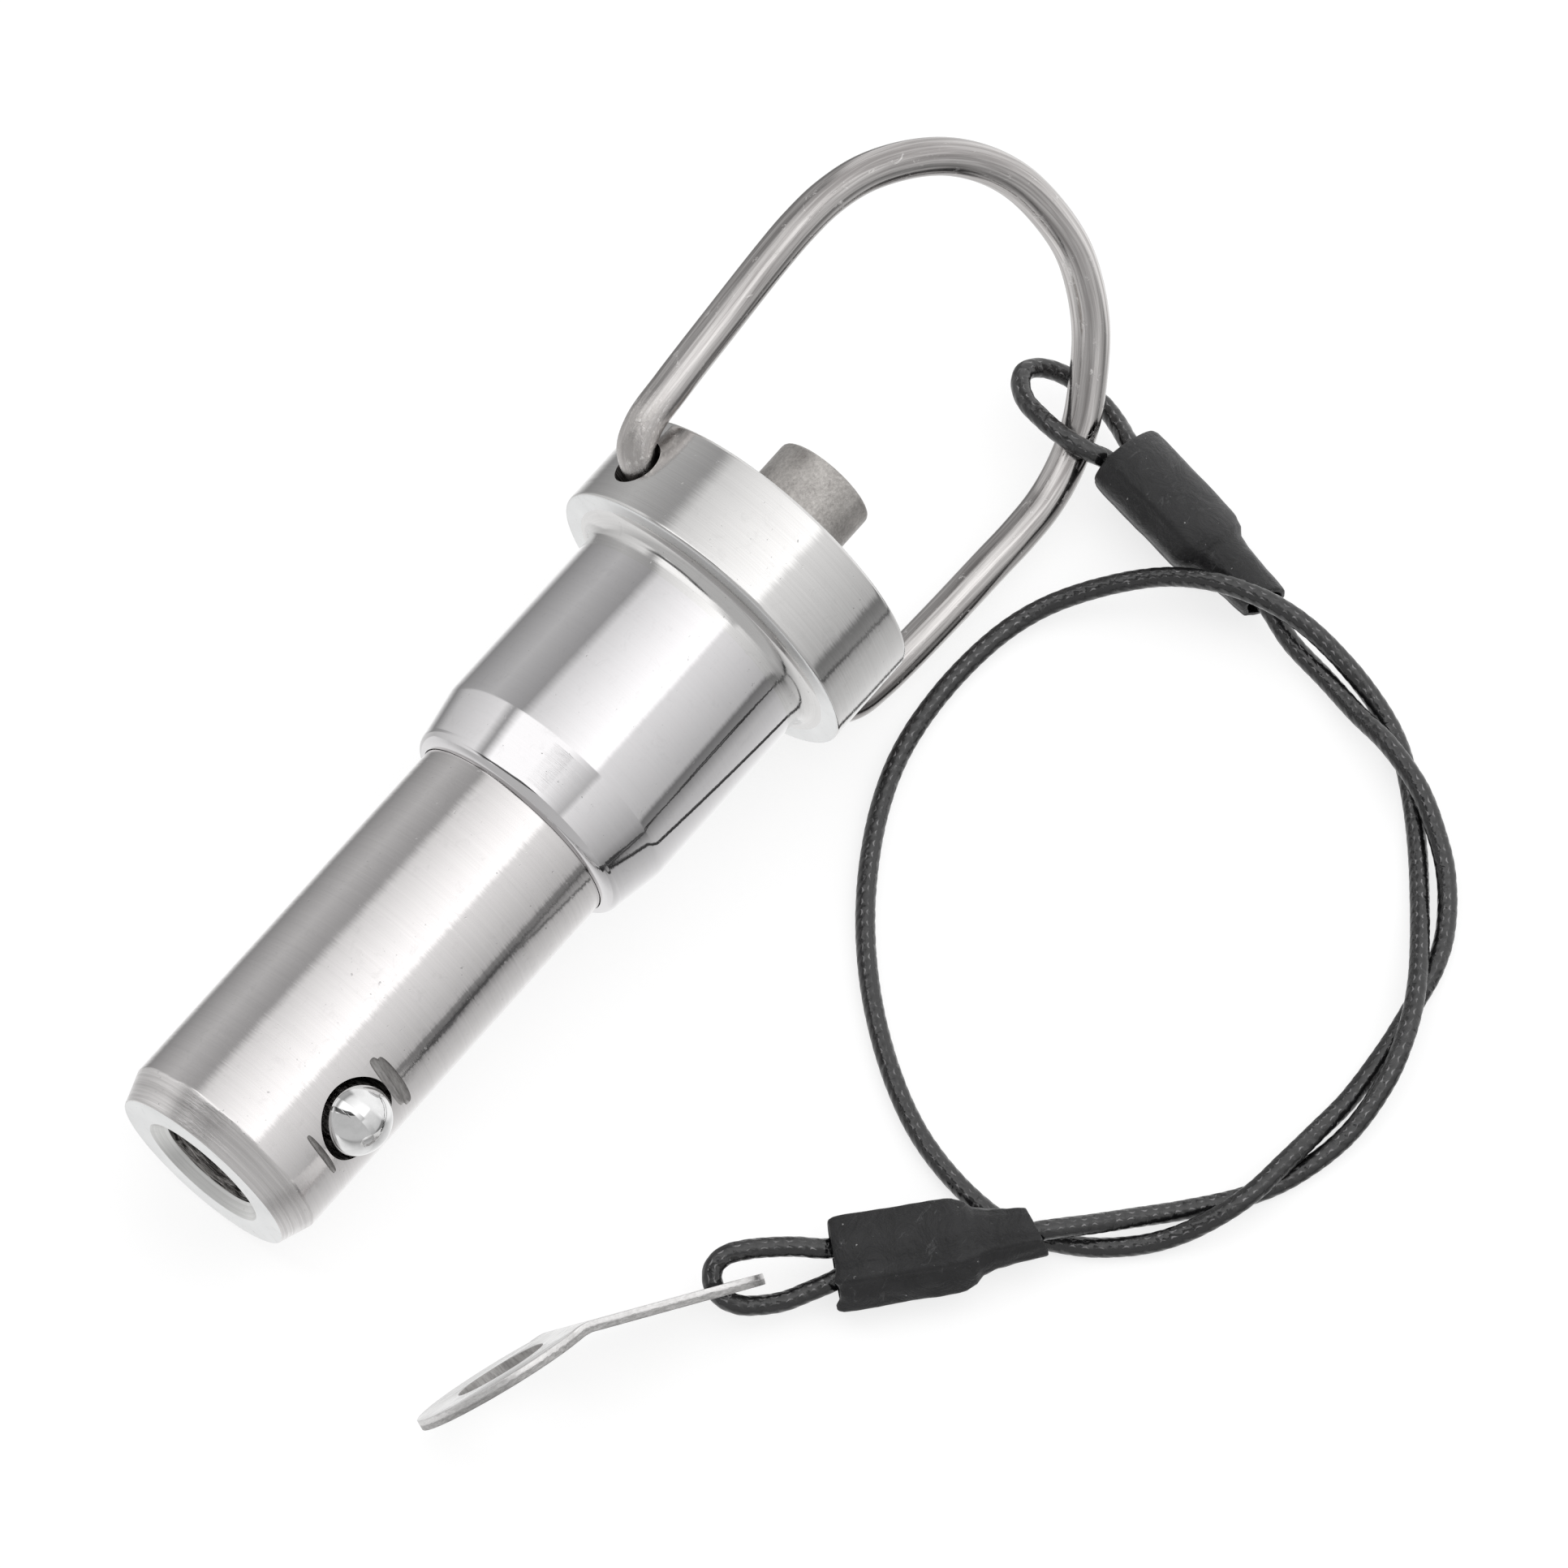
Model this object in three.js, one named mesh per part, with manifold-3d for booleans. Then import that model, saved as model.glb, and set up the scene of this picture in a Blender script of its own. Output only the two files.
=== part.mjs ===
// Ball-lock hitch pin with a stepped shank, a wire bail and a cable lanyard.
// Millimetres, +Z up. The pin lies on the surface z = 0 with its axis over the X axis.
import * as THREE from 'three';
import { mergeVertices } from 'three/addons/utils/BufferGeometryUtils.js';
import Module from 'manifold-3d';

const wasm = await Module();
wasm.setup();

// ---------------------------------------------------------------- driving dimensions
// Stations run along the pin axis from the tip face, x = 0, to the button top.
const SHANK_R = 8.0;
const TIP_FACE_R = 7.15;
const TIP_CHAMFER_X = 2.35;
const SLEEVE_X = 32.8;
const TAPER_END_X = 37.4;
const HEAD_X = 53.1;
const HEAD_TOP_X = 60.6;
const BUTTON_TOP_X = 66.8;

const TIP_BORE_R = 3.8;
const TIP_BORE_CHAMFER = 1.05;
const TIP_WALL = 2.0;
const MAIN_BORE_R = 5.1;
const SPRING_SEAT_X = 38.0;
const SPRING_BORE_R = 6.1;
const SHANK_TOP_X = 55.0;

const SLEEVE_BORE_R = 8.02;
const SLEEVE_LIP_R = 8.2;
const SLEEVE_NOSE_R = 9.0;
const SLEEVE_NOSE = 1.0;
const STEP_R = 9.65;
const STEP_FILLET = 1.3;
const HEAD_R = 12.5;
const HEAD_CHAMFER = 0.3;

const BALL_R = 2.65;
const BALL_HOLE_R = 3.05;
const BALL_X = 8.8;
const BALL_OUT = 7.6;
const BALL_ROLL = THREE.MathUtils.degToRad(151.5);

const PUSH_TRAVEL = 4.0;
const BALL_TRAVEL = 2.25;
const LAND_R = 5.0;
const NECK_R = 2.6;
const STEM_R = 3.0;
const SPIGOT_R = 2.0;
const SLIDE_GAP = 0.03;

const BUTTON_R = 3.93;
const BUTTON_HOLE_R = 4.02;
const FLANGE_R = 5.95;
const FLANGE_THICKNESS = 2.0;
const FLANGE_TOP_X = 54.9;

const SPRING_WIRE_R = 0.45;
const SPRING_MEAN_R = 5.55;
const SPRING_TURNS = 7;

const BAIL_X = 56.7;
const BAIL_ROLL = THREE.MathUtils.degToRad(49.7);
const BAIL_SWING = THREE.MathUtils.degToRad(2);
const BAIL_WIRE_R = 1.4;
const BAIL_HOLE_R = 1.9;
const BAIL_HOLE_DEPTH_R = 8.4;

const CABLE_R = 0.725;
const CABLE_SIDES = 8;
const FERRULE_START = 1.3;
const FERRULE_LENGTH = 6.8;
const SHRINK_WIDE = 3.25;
const SHRINK_FLATNESS = 0.71;
const SHRINK_WALL = 0.4;
const SHRINK_LENGTH = 9.3;
const SHRINK_TAIL = 5.0;
const SHRINK_NECK_R = 2.2;
const SHRINK_TAIL_R = 1.8;

const TAB_THICKNESS = 0.8;
const TAB_BEND = THREE.MathUtils.degToRad(16.8);
const TAB_STRAP = 11.04;
const TAB_STRAP_R = 3.5;
const TAB_SMALL_HOLE_R = 2.1;
const TAB_EYE = 5.54;
const TAB_EYE_R = 6.7;
const TAB_LARGE_HOLE_R = 3.36;

const SEGMENTS = 48;

// The pin rests on its tip chamfer edge and its head rim, so its axis tilts a little.
const HEAD_EDGE_X = HEAD_X + HEAD_CHAMFER;
const PIN_TILT = Math.atan2(HEAD_R - SHANK_R, HEAD_EDGE_X - TIP_CHAMFER_X);
const PIN_HEIGHT = SHANK_R * Math.cos(PIN_TILT) - TIP_CHAMFER_X * Math.sin(PIN_TILT);
const PIN_TIP_X = -46.64;

// ---------------------------------------------------------------- hand-set routes
// Centre line of the bail wire: distance out from the cross holes, then across.
const BAIL_PATH = [
  [0, 8.8], [0, 10.4], [0, 11.9], [0.6, 13.3], [2.2, 14.1], [5.5, 14.45], [11.4, 14.85],
  [17.3, 15.2], [20.3, 15.25], [23.3, 15.0], [26.5, 14.1], [29.8, 12.2], [32.4, 9.9],
  [34.3, 7.2], [35.5, 4.3], [36.0, 1.2], [35.9, -2.6], [35.1, -5.3], [33.3, -8.5],
  [30.7, -11.2], [28.0, -13.3], [25.1, -14.6], [22.2, -15.25], [19.2, -15.35],
  [16.1, -15.2], [10.0, -14.9], [3.9, -14.4], [1.6, -13.9], [0.5, -13.1], [0, -11.9],
  [0, -10.4], [0, -8.8],
];

// The two crimped ends: mouth of the sleeve, end of its tail and its wide direction.
const BAIL_END = { mouth: [39.0, -11.6, 4.2], tail: [37.1, -25.9, 2.5], wide: [-0.85, 0, 0.5] };
const TAB_END = { mouth: [-22.1, -36.2, 2.6], tail: [-11.2, -45.5, 3.2], wide: [0.62, 0.73, 0.28] };

// The cable between the crimps lies in one and a half loose turns, with low humps
// where it passes over itself.
const RUN_PATH = [
  [36.1, -29.5, 1.7], [35.6, -33.1, 1.3], [34.8, -36.5, 1.6], [34.0, -40.1, 2.3],
  [32.7, -43.9, 2.3], [31.2, -46.5, 1.9], [29.5, -48.8, 1.5], [27.6, -50.6, 1.1],
  [25.4, -52.1, 0.8], [23.0, -53.1, 0.76], [20.2, -53.7, 0.76], [16.4, -54.4, 0.76],
  [11.3, -54.9, 0.85], [7.8, -54.9, 1.4], [4.4, -54.9, 2.15], [1.0, -54.7, 2.35],
  [-1.7, -54.0, 2.1], [-4.5, -52.5, 1.2], [-6.9, -50.6, 0.78], [-9.6, -47.4, 0.76],
  [-11.4, -42.8, 0.76], [-10.3, -34.5, 0.76], [-5.3, -25.9, 0.76], [2.3, -18.6, 0.76],
  [11.2, -13.9, 0.76], [20.5, -12.8, 0.85], [27.0, -14.2, 1.4], [32.7, -18.9, 3.4],
  [34.9, -22.8, 4.7], [36.2, -26.6, 4.8], [36.9, -30.0, 3.9], [37.0, -34.0, 2.1],
  [36.3, -37.6, 0.9], [35.0, -40.3, 0.76], [32.4, -43.5, 0.76], [29.5, -46.4, 0.76],
  [26.5, -49.0, 0.95], [24.0, -51.0, 1.5], [21.4, -52.9, 2.1], [18.9, -54.4, 2.35],
  [16.4, -55.5, 2.3], [13.6, -56.3, 1.9], [9.0, -56.6, 1.1], [4.2, -55.6, 0.76],
  [1.0, -54.1, 0.76], [-2.6, -51.5, 0.8], [-5.5, -49.4, 1.4], [-8.0, -47.8, 2.3],
];

// Eye round the bail wire, from the mouth of its crimp, over the wire, and back below it.
const BAIL_EYE_PATH = [
  [37.6, -11.1, 4.9], [37.1, -10.3, 5.5], [36.7, -8.9, 5.9], [36.6, -7.3, 6.0],
  [36.8, -5.6, 5.9], [37.2, -4.1, 5.6], [38.1, -2.8, 5.2], [39.3, -2.1, 4.7], [40.3, -2.3, 4.2],
  [41.1, -3.0, 3.7], [41.7, -4.2, 3.2], [41.9, -5.9, 2.8], [41.7, -7.8, 2.7], [41.1, -9.5, 2.9],
  [40.3, -11.1, 3.4],
];

// Eye through the small hole of the tab, from the mouth of its crimp and back.
const TAB_EYE_PATH = [
  [-21.8, -35.1, 3.3], [-23.05, -33.65, 3.65], [-24.35, -32.35, 3.9], [-25.7, -31.2, 4.1],
  [-26.9, -30.45, 4.15], [-27.95, -30.3, 3.9], [-28.75, -30.8, 3.5], [-29.05, -31.8, 2.9],
  [-28.55, -33.0, 2.3], [-27.6, -33.95, 1.95], [-26.2, -35.1, 1.9], [-24.55, -35.95, 1.95],
  [-23.1, -36.7, 2.1], [-22.3, -37.1, 2.3],
];

// The bend line of the tab, the way towards its small hole, and the way to its upper edge.
const TAB_PLACE = { bend: [-38.84, -26.45, 5.79], along: [0.865, -0.46, -0.199], up: [-0.031, -0.445, 0.895] };

// ---------------------------------------------------------------- materials
const metal = (color, roughness) => new THREE.MeshStandardMaterial({ color, roughness, metalness: 1 });
const plastic = (color, roughness) => new THREE.MeshStandardMaterial({ color, roughness, metalness: 0 });

const SATIN_STEEL = metal(0xb9b6b4, 0.32);
const POLISHED_STEEL = metal(0xcfcdcb, 0.16);
const BLASTED_STEEL = metal(0x8d8783, 0.55);
const SPRING_STEEL = metal(0x9a9a98, 0.35);
const BALL_STEEL = metal(0xd8d8d8, 0.06);
const SHEET_STEEL = metal(0xc6c4c1, 0.3);
const ALUMINIUM = metal(0xd2d2d4, 0.35);
const CABLE_BLACK = plastic(0x1b1b1c, 0.4);
const SHRINK_BLACK = plastic(0x232325, 0.6);

// ---------------------------------------------------------------- solids
const vector = (point) => new THREE.Vector3(...point);

// A closed profile of [x, r] points turned round the X axis.
function turned(profile, segments = SEGMENTS) {
  const points = profile.map(([x, r]) => new THREE.Vector2(r, x));
  const onAxis = profile[0][1] === 0 && profile.at(-1)[1] === 0;
  if (!onAxis) {
    points.push(points[0].clone());
  }
  const geometry = new THREE.LatheGeometry(points, segments);
  geometry.rotateZ(-Math.PI / 2);
  return facingOut(geometry);
}

// Turns the faces over where the enclosed volume comes out negative.
function facingOut(geometry) {
  const index = geometry.index;
  const place = geometry.attributes.position;
  const corners = [0, 1, 2].map(() => new THREE.Vector3());
  let volume = 0;
  for (let i = 0; i < index.count; i += 3) {
    corners.forEach((corner, k) => corner.fromBufferAttribute(place, index.getX(i + k)));
    volume += corners[0].dot(corners[1].clone().cross(corners[2]));
  }
  if (volume < 0) {
    for (let i = 0; i < index.count; i += 3) {
      const kept = index.getX(i);
      index.setX(i, index.getX(i + 1));
      index.setX(i + 1, kept);
    }
  }
  return geometry;
}

// A round rod along X from x0 to x1.
const rod = (x0, x1, radius, segments = 32) => turned([[x0, 0], [x0, radius], [x1, radius], [x1, 0]], segments);

// A round tube of the given radius along a curve.
function sweep(curve, radius, steps, sides) {
  const ring = new THREE.Shape();
  ring.absarc(0, 0, radius, 0, 2 * Math.PI);
  const options = { steps, extrudePath: curve, bevelEnabled: false, curveSegments: sides / 2 };
  return new THREE.ExtrudeGeometry(ring, options);
}

const smoothCurve = (points) => new THREE.CatmullRomCurve3(points.map(vector), false, 'centripetal');

function toSolid(geometry) {
  const bare = geometry.clone();
  bare.deleteAttribute('normal');
  bare.deleteAttribute('uv');
  const merged = mergeVertices(bare, 1e-4);
  const mesh = new wasm.Mesh({
    numProp: 3,
    vertProperties: new Float32Array(merged.attributes.position.array),
    triVerts: new Uint32Array(merged.index.array),
  });
  return new wasm.Manifold(mesh);
}

function toGeometry(solid) {
  const mesh = solid.getMesh();
  const geometry = new THREE.BufferGeometry();
  geometry.setAttribute('position', new THREE.BufferAttribute(mesh.vertProperties, mesh.numProp));
  geometry.setIndex(new THREE.BufferAttribute(mesh.triVerts, 1));
  geometry.computeVertexNormals();
  return geometry;
}

function cut(base, tools) {
  const solid = tools.reduce((rest, tool) => rest.subtract(toSolid(tool)), toSolid(base));
  return toGeometry(solid);
}

function node(name, geometry, material) {
  const mesh = new THREE.Mesh(geometry, material);
  mesh.name = name;
  return mesh;
}

// Turns a geometry that points along X to point across the pin, at the given roll.
function crosswise(geometry, roll, x) {
  geometry.rotateZ(Math.PI / 2);
  geometry.rotateX(roll);
  geometry.translate(x, 0, 0);
  return geometry;
}

// ---------------------------------------------------------------- the pin
// Two bruises beside each ball hole, left by the punch that keeps the ball in.
function stakeMarks(roll) {
  return [[-3.55, 0.3], [3.7, 0.55]].map(([offset, halfWidth]) => {
    const punch = new THREE.BoxGeometry(2 * halfWidth, 0.6, 3.0);
    punch.translate(BALL_X + offset, SHANK_R, 0);
    punch.rotateX(roll);
    return punch;
  });
}

function shank() {
  const body = turned([
    [0, TIP_FACE_R], [TIP_CHAMFER_X, SHANK_R], [SHANK_TOP_X, SHANK_R], [SHANK_TOP_X, SPRING_BORE_R],
    [SPRING_SEAT_X, SPRING_BORE_R], [SPRING_SEAT_X, MAIN_BORE_R], [TIP_WALL, MAIN_BORE_R],
    [TIP_WALL, TIP_BORE_R], [TIP_BORE_CHAMFER, TIP_BORE_R], [0, TIP_BORE_R + TIP_BORE_CHAMFER],
  ]);
  const ballHoles = crosswise(rod(-9, 9, BALL_HOLE_R), BALL_ROLL, BALL_X);
  const marks = [...stakeMarks(BALL_ROLL), ...stakeMarks(BALL_ROLL + Math.PI)];
  return node('shank', cut(body, [ballHoles, ...marks]), SATIN_STEEL);
}

// The stepped sleeve, its fillet and the head are one turned piece over the shank.
function shoulderSleeve() {
  const nose = [];
  const fillet = [];
  const steps = 5;
  for (let i = 0; i <= steps; i += 1) {
    const angle = (i / steps) * (Math.PI / 2);
    const rise = SLEEVE_NOSE_R - SLEEVE_LIP_R;
    nose.push([
      SLEEVE_X + SLEEVE_NOSE * (1 - Math.cos(angle)),
      SLEEVE_LIP_R + rise * Math.sin(angle),
    ]);
    fillet.push([
      HEAD_X - STEP_FILLET * (1 - Math.sin(angle)),
      STEP_R + STEP_FILLET * (1 - Math.cos(angle)),
    ]);
  }
  const body = turned([
    [SLEEVE_X, SLEEVE_BORE_R], ...nose, [TAPER_END_X, STEP_R], ...fillet,
    [HEAD_X, HEAD_R - HEAD_CHAMFER], [HEAD_X + HEAD_CHAMFER, HEAD_R],
    [HEAD_TOP_X - HEAD_CHAMFER, HEAD_R], [HEAD_TOP_X, HEAD_R - HEAD_CHAMFER],
    [HEAD_TOP_X, BUTTON_HOLE_R], [SHANK_TOP_X + SLIDE_GAP, BUTTON_HOLE_R],
    [SHANK_TOP_X + SLIDE_GAP, SLEEVE_BORE_R],
  ]);
  const bailHoles = [1, -1].map((side) => {
    const drill = rod(BAIL_HOLE_DEPTH_R, HEAD_R + 1, BAIL_HOLE_R);
    return crosswise(drill, BAIL_ROLL + (side < 0 ? Math.PI : 0), BAIL_X);
  });
  return node('shoulder_sleeve', cut(body, bailHoles), POLISHED_STEEL);
}

// The cam of the spindle has the slope that lets each ball drop by BALL_TRAVEL
// while the spindle moves by PUSH_TRAVEL.
function spindle() {
  const slope = BALL_TRAVEL / PUSH_TRAVEL;
  const underBall = BALL_OUT - (BALL_R + SLIDE_GAP) * Math.hypot(1, slope);
  const landStart = TIP_WALL + PUSH_TRAVEL + 0.1;
  const landEnd = BALL_X - (LAND_R - underBall) / slope;
  const neckStart = landEnd + (LAND_R - NECK_R) / slope;
  const neckEnd = BALL_X + BALL_R + PUSH_TRAVEL;
  const guideStart = neckEnd + 1.0;
  const guideEnd = guideStart + 7;
  const spigotStart = FLANGE_TOP_X - FLANGE_THICKNESS + 0.1;
  return node('spindle', turned([
    [landStart, 0], [landStart, LAND_R - 0.4], [landStart + 0.4, LAND_R], [landEnd, LAND_R],
    [neckStart, NECK_R], [neckEnd, NECK_R], [guideStart, LAND_R], [guideEnd, LAND_R],
    [guideEnd + 2, STEM_R], [spigotStart, STEM_R], [spigotStart, SPIGOT_R],
    [BUTTON_TOP_X - 3, SPIGOT_R], [BUTTON_TOP_X - 3, 0],
  ]), SATIN_STEEL);
}

function pushButton() {
  const flangeStart = FLANGE_TOP_X - FLANGE_THICKNESS;
  const socketR = SPIGOT_R + SLIDE_GAP;
  return node('push_button', turned([
    [flangeStart, STEM_R + 0.1], [flangeStart, FLANGE_R], [FLANGE_TOP_X, FLANGE_R],
    [FLANGE_TOP_X, BUTTON_R], [BUTTON_TOP_X - 0.35, BUTTON_R], [BUTTON_TOP_X, BUTTON_R - 0.35],
    [BUTTON_TOP_X, 0], [BUTTON_TOP_X - 2.9, 0], [BUTTON_TOP_X - 2.9, socketR],
    [flangeStart + 0.15, socketR], [flangeStart + 0.15, STEM_R + 0.1],
  ]), BLASTED_STEEL);
}

class Helix extends THREE.Curve {
  constructor(x0, x1, radius, turns) {
    super();
    this.x0 = x0;
    this.x1 = x1;
    this.radius = radius;
    this.turns = turns;
  }

  getPoint(t, target = new THREE.Vector3()) {
    const angle = 2 * Math.PI * this.turns * t;
    const x = THREE.MathUtils.lerp(this.x0, this.x1, t);
    return target.set(x, this.radius * Math.cos(angle), this.radius * Math.sin(angle));
  }
}

function returnSpring() {
  const clear = SPRING_WIRE_R + 0.1;
  const end = FLANGE_TOP_X - FLANGE_THICKNESS - clear;
  const coil = new Helix(SPRING_SEAT_X + clear, end, SPRING_MEAN_R, SPRING_TURNS);
  return node('return_spring', sweep(coil, SPRING_WIRE_R, SPRING_TURNS * 14, 6), SPRING_STEEL);
}

function lockingBalls() {
  return [0, 1].map((side) => {
    const ball = node(`locking_ball_${side + 1}`, new THREE.SphereGeometry(BALL_R, 24, 16), BALL_STEEL);
    const roll = BALL_ROLL + side * Math.PI;
    ball.position.set(BALL_X, BALL_OUT * Math.cos(roll), BALL_OUT * Math.sin(roll));
    return ball;
  });
}

// The bail frame has X out of the head, Y along the cross holes and Z off the bail's flat.
function bail() {
  const frame = new THREE.Group();
  frame.position.x = BAIL_X;
  frame.rotation.set(BAIL_ROLL, 0, 0);
  const swing = new THREE.Group();
  swing.rotation.y = BAIL_SWING;
  const curve = smoothCurve(BAIL_PATH.map(([out, across]) => [out, across, 0]));
  swing.add(node('bail', sweep(curve, BAIL_WIRE_R, 72, 12), POLISHED_STEEL));
  frame.add(swing);
  return frame;
}

function pin() {
  const group = new THREE.Group();
  group.add(shank(), shoulderSleeve(), spindle(), pushButton(), returnSpring());
  group.add(...lockingBalls(), bail());
  group.position.set(PIN_TIP_X, 0, PIN_HEIGHT);
  group.rotation.y = -PIN_TILT;
  return group;
}

// ---------------------------------------------------------------- the lanyard
// A frame with X from the mouth of a crimped end to its tail and Y its wide way.
function crimpFrame({ mouth, tail, wide }) {
  const along = vector(tail).sub(vector(mouth)).normalize();
  const thin = new THREE.Vector3().crossVectors(along, vector(wide)).normalize();
  const across = new THREE.Vector3().crossVectors(thin, along);
  const group = new THREE.Group();
  group.quaternion.setFromRotationMatrix(new THREE.Matrix4().makeBasis(along, across, thin));
  group.position.copy(vector(mouth));
  return group;
}

// The crimp is pressed flat, and the heat-shrink sleeve follows it and necks down to the cable.
function crimpedEnd(place, suffix) {
  const end = SHRINK_LENGTH + SHRINK_TAIL;
  const outer = [
    [0, SHRINK_WIDE - 0.1], [0.4, SHRINK_WIDE], [SHRINK_LENGTH - 0.5, SHRINK_WIDE],
    [SHRINK_LENGTH + 1.2, SHRINK_NECK_R], [end, SHRINK_TAIL_R],
  ];
  const inner = outer.map(([x, r]) => [x, r - SHRINK_WALL]).reverse();
  const shrink = turned([...outer, ...inner], 24);
  const ferruleR = SHRINK_WIDE - SHRINK_WALL - 0.35;
  const ferruleEnd = FERRULE_START + FERRULE_LENGTH;
  const ferrule = turned([
    [FERRULE_START, 0], [FERRULE_START, ferruleR - 0.2], [FERRULE_START + 0.3, ferruleR],
    [ferruleEnd - 0.3, ferruleR], [ferruleEnd, ferruleR - 0.2], [ferruleEnd, 0],
  ], 24);
  [shrink, ferrule].forEach((geometry) => geometry.scale(1, 1, SHRINK_FLATNESS));
  const group = crimpFrame(place);
  group.add(node(`heat_shrink_${suffix}`, shrink, SHRINK_BLACK));
  group.add(node(`ferrule_${suffix}`, ferrule, ALUMINIUM));
  return group;
}

// A point on the line of a crimped end, a given way past its mouth.
function pastMouth({ mouth, tail }, distance) {
  const along = vector(tail).sub(vector(mouth)).normalize();
  return vector(mouth).addScaledVector(along, distance).toArray();
}

function cable() {
  const ferruleEnd = FERRULE_START + FERRULE_LENGTH + 0.3;
  const tailEnd = SHRINK_LENGTH + SHRINK_TAIL + 0.5;
  const run = [
    pastMouth(BAIL_END, ferruleEnd), pastMouth(BAIL_END, tailEnd), ...RUN_PATH,
    pastMouth(TAB_END, tailEnd), pastMouth(TAB_END, ferruleEnd),
  ];
  return [
    node('lanyard_cable', sweep(smoothCurve(run), CABLE_R, 64, CABLE_SIDES), CABLE_BLACK),
    node('bail_eye', sweep(smoothCurve(BAIL_EYE_PATH), CABLE_R, 14, CABLE_SIDES), CABLE_BLACK),
    node('tab_eye', sweep(smoothCurve(TAB_EYE_PATH), CABLE_R, 14, CABLE_SIDES), CABLE_BLACK),
  ];
}

function flatPlate(outline, hole) {
  outline.holes.push(hole);
  const plate = new THREE.ExtrudeGeometry(outline, {
    depth: TAB_THICKNESS, bevelEnabled: false, curveSegments: 16,
  });
  plate.translate(0, 0, -TAB_THICKNESS / 2);
  return plate;
}

function roundHole(x, radius) {
  const hole = new THREE.Path();
  hole.absarc(x, 0, radius, 0, 2 * Math.PI, true);
  return hole;
}

// A half space beyond the bend, as a large box whose face lies on the mitre plane.
function beyondBend(side) {
  const box = new THREE.BoxGeometry(40, 40, 40);
  box.translate(20 * side, 0, 0);
  box.rotateY(TAB_BEND / 2);
  return box;
}

// Both halves of the tab meet on the mitre plane of the bend.
function mountingTab() {
  const strap = new THREE.Shape();
  strap.moveTo(-2, -TAB_STRAP_R);
  strap.lineTo(TAB_STRAP, -TAB_STRAP_R);
  strap.absarc(TAB_STRAP, 0, TAB_STRAP_R, -Math.PI / 2, Math.PI / 2);
  strap.lineTo(-2, TAB_STRAP_R);
  strap.closePath();
  const strapPlate = flatPlate(strap, roundHole(TAB_STRAP, TAB_SMALL_HOLE_R));

  const flare = Math.PI - Math.acos(TAB_STRAP_R / TAB_EYE_R) + 0.15;
  const eye = new THREE.Shape();
  eye.moveTo(2, -TAB_STRAP_R);
  eye.lineTo(2, TAB_STRAP_R);
  eye.absarc(-TAB_EYE, 0, TAB_EYE_R, Math.PI - flare, Math.PI + flare);
  eye.closePath();
  const eyePlate = flatPlate(eye, roundHole(-TAB_EYE, TAB_LARGE_HOLE_R));
  eyePlate.rotateY(TAB_BEND);

  const strapSolid = toSolid(strapPlate).intersect(toSolid(beyondBend(1)));
  const eyeSolid = toSolid(eyePlate).intersect(toSolid(beyondBend(-1)));
  const tab = node('mounting_tab', toGeometry(strapSolid.add(eyeSolid)), SHEET_STEEL);

  const along = vector(TAB_PLACE.along).normalize();
  const face = new THREE.Vector3().crossVectors(along, vector(TAB_PLACE.up)).normalize();
  const up = new THREE.Vector3().crossVectors(face, along);
  tab.quaternion.setFromRotationMatrix(new THREE.Matrix4().makeBasis(along, up, face));
  tab.position.copy(vector(TAB_PLACE.bend));
  return tab;
}

// ---------------------------------------------------------------- the whole object
const group = new THREE.Group();
group.add(pin());
group.add(crimpedEnd(BAIL_END, 'bail'), crimpedEnd(TAB_END, 'tab'), ...cable(), mountingTab());

export default group;
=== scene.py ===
"""Looks for the ball-lock hitch pin: camera, cable, pin, bail, crimps, tab, materials and studio.

Everything is in metres in the row frame. Lengths that shape a piece are written in millimetres
and scaled by MM where a mesh is made.
"""
import math

import bmesh
import bpy
from mathutils import Matrix, Quaternion, Vector, noise


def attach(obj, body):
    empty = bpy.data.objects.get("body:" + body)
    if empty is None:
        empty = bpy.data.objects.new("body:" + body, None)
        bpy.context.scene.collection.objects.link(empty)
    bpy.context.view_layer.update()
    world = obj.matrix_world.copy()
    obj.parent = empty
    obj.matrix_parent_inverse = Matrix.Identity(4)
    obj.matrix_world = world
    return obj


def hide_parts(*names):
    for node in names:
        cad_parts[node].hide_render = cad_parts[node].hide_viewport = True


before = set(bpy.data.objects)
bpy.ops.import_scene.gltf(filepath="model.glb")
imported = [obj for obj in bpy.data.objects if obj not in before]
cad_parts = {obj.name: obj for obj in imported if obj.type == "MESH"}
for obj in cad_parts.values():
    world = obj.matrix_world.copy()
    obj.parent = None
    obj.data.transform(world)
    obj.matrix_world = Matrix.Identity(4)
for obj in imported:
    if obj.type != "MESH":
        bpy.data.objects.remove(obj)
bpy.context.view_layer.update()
MM = 0.001

# ---------------------------------------------------------------- the pin's own measures, mm
SHANK_R = 8.0
TIP_CHAMFER_X = 2.35
SLEEVE_X = 32.8
TAPER_END_X = 37.4
HEAD_X = 53.1
HEAD_TOP_X = 60.6
BUTTON_TOP_X = 66.8
HEAD_R = 12.5
BALL_R = 2.65
BALL_X = 8.8
BALL_OUT = 7.6
BALL_ROLL = math.radians(151.5)
BALL_HOLE_R = 3.05
BAIL_X = 56.7
BAIL_ROLL = math.radians(49.7)
BAIL_SWING = math.radians(2)
BAIL_WIRE_R = 1.4
BAIL_HOLE_R = 1.9
BAIL_WIRE_LENGTH = 113.5
BAIL_HOLE_DEPTH_R = 8.4
BORE_R = 5.1
TIP_HOLE_R = 3.95
TIP_FLOOR_X = 2.03
SHANK_TOP_X = 54.9
SLEEVE_BORE_R = 8.06
SLEEVE_BORE_TOP_X = 55.03
BUTTON_R = 3.93
BUTTON_HOLE_R = 4.06
BUTTON_FLANGE_R = 5.95
SPINDLE_HOLE_R = 2.03
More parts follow.
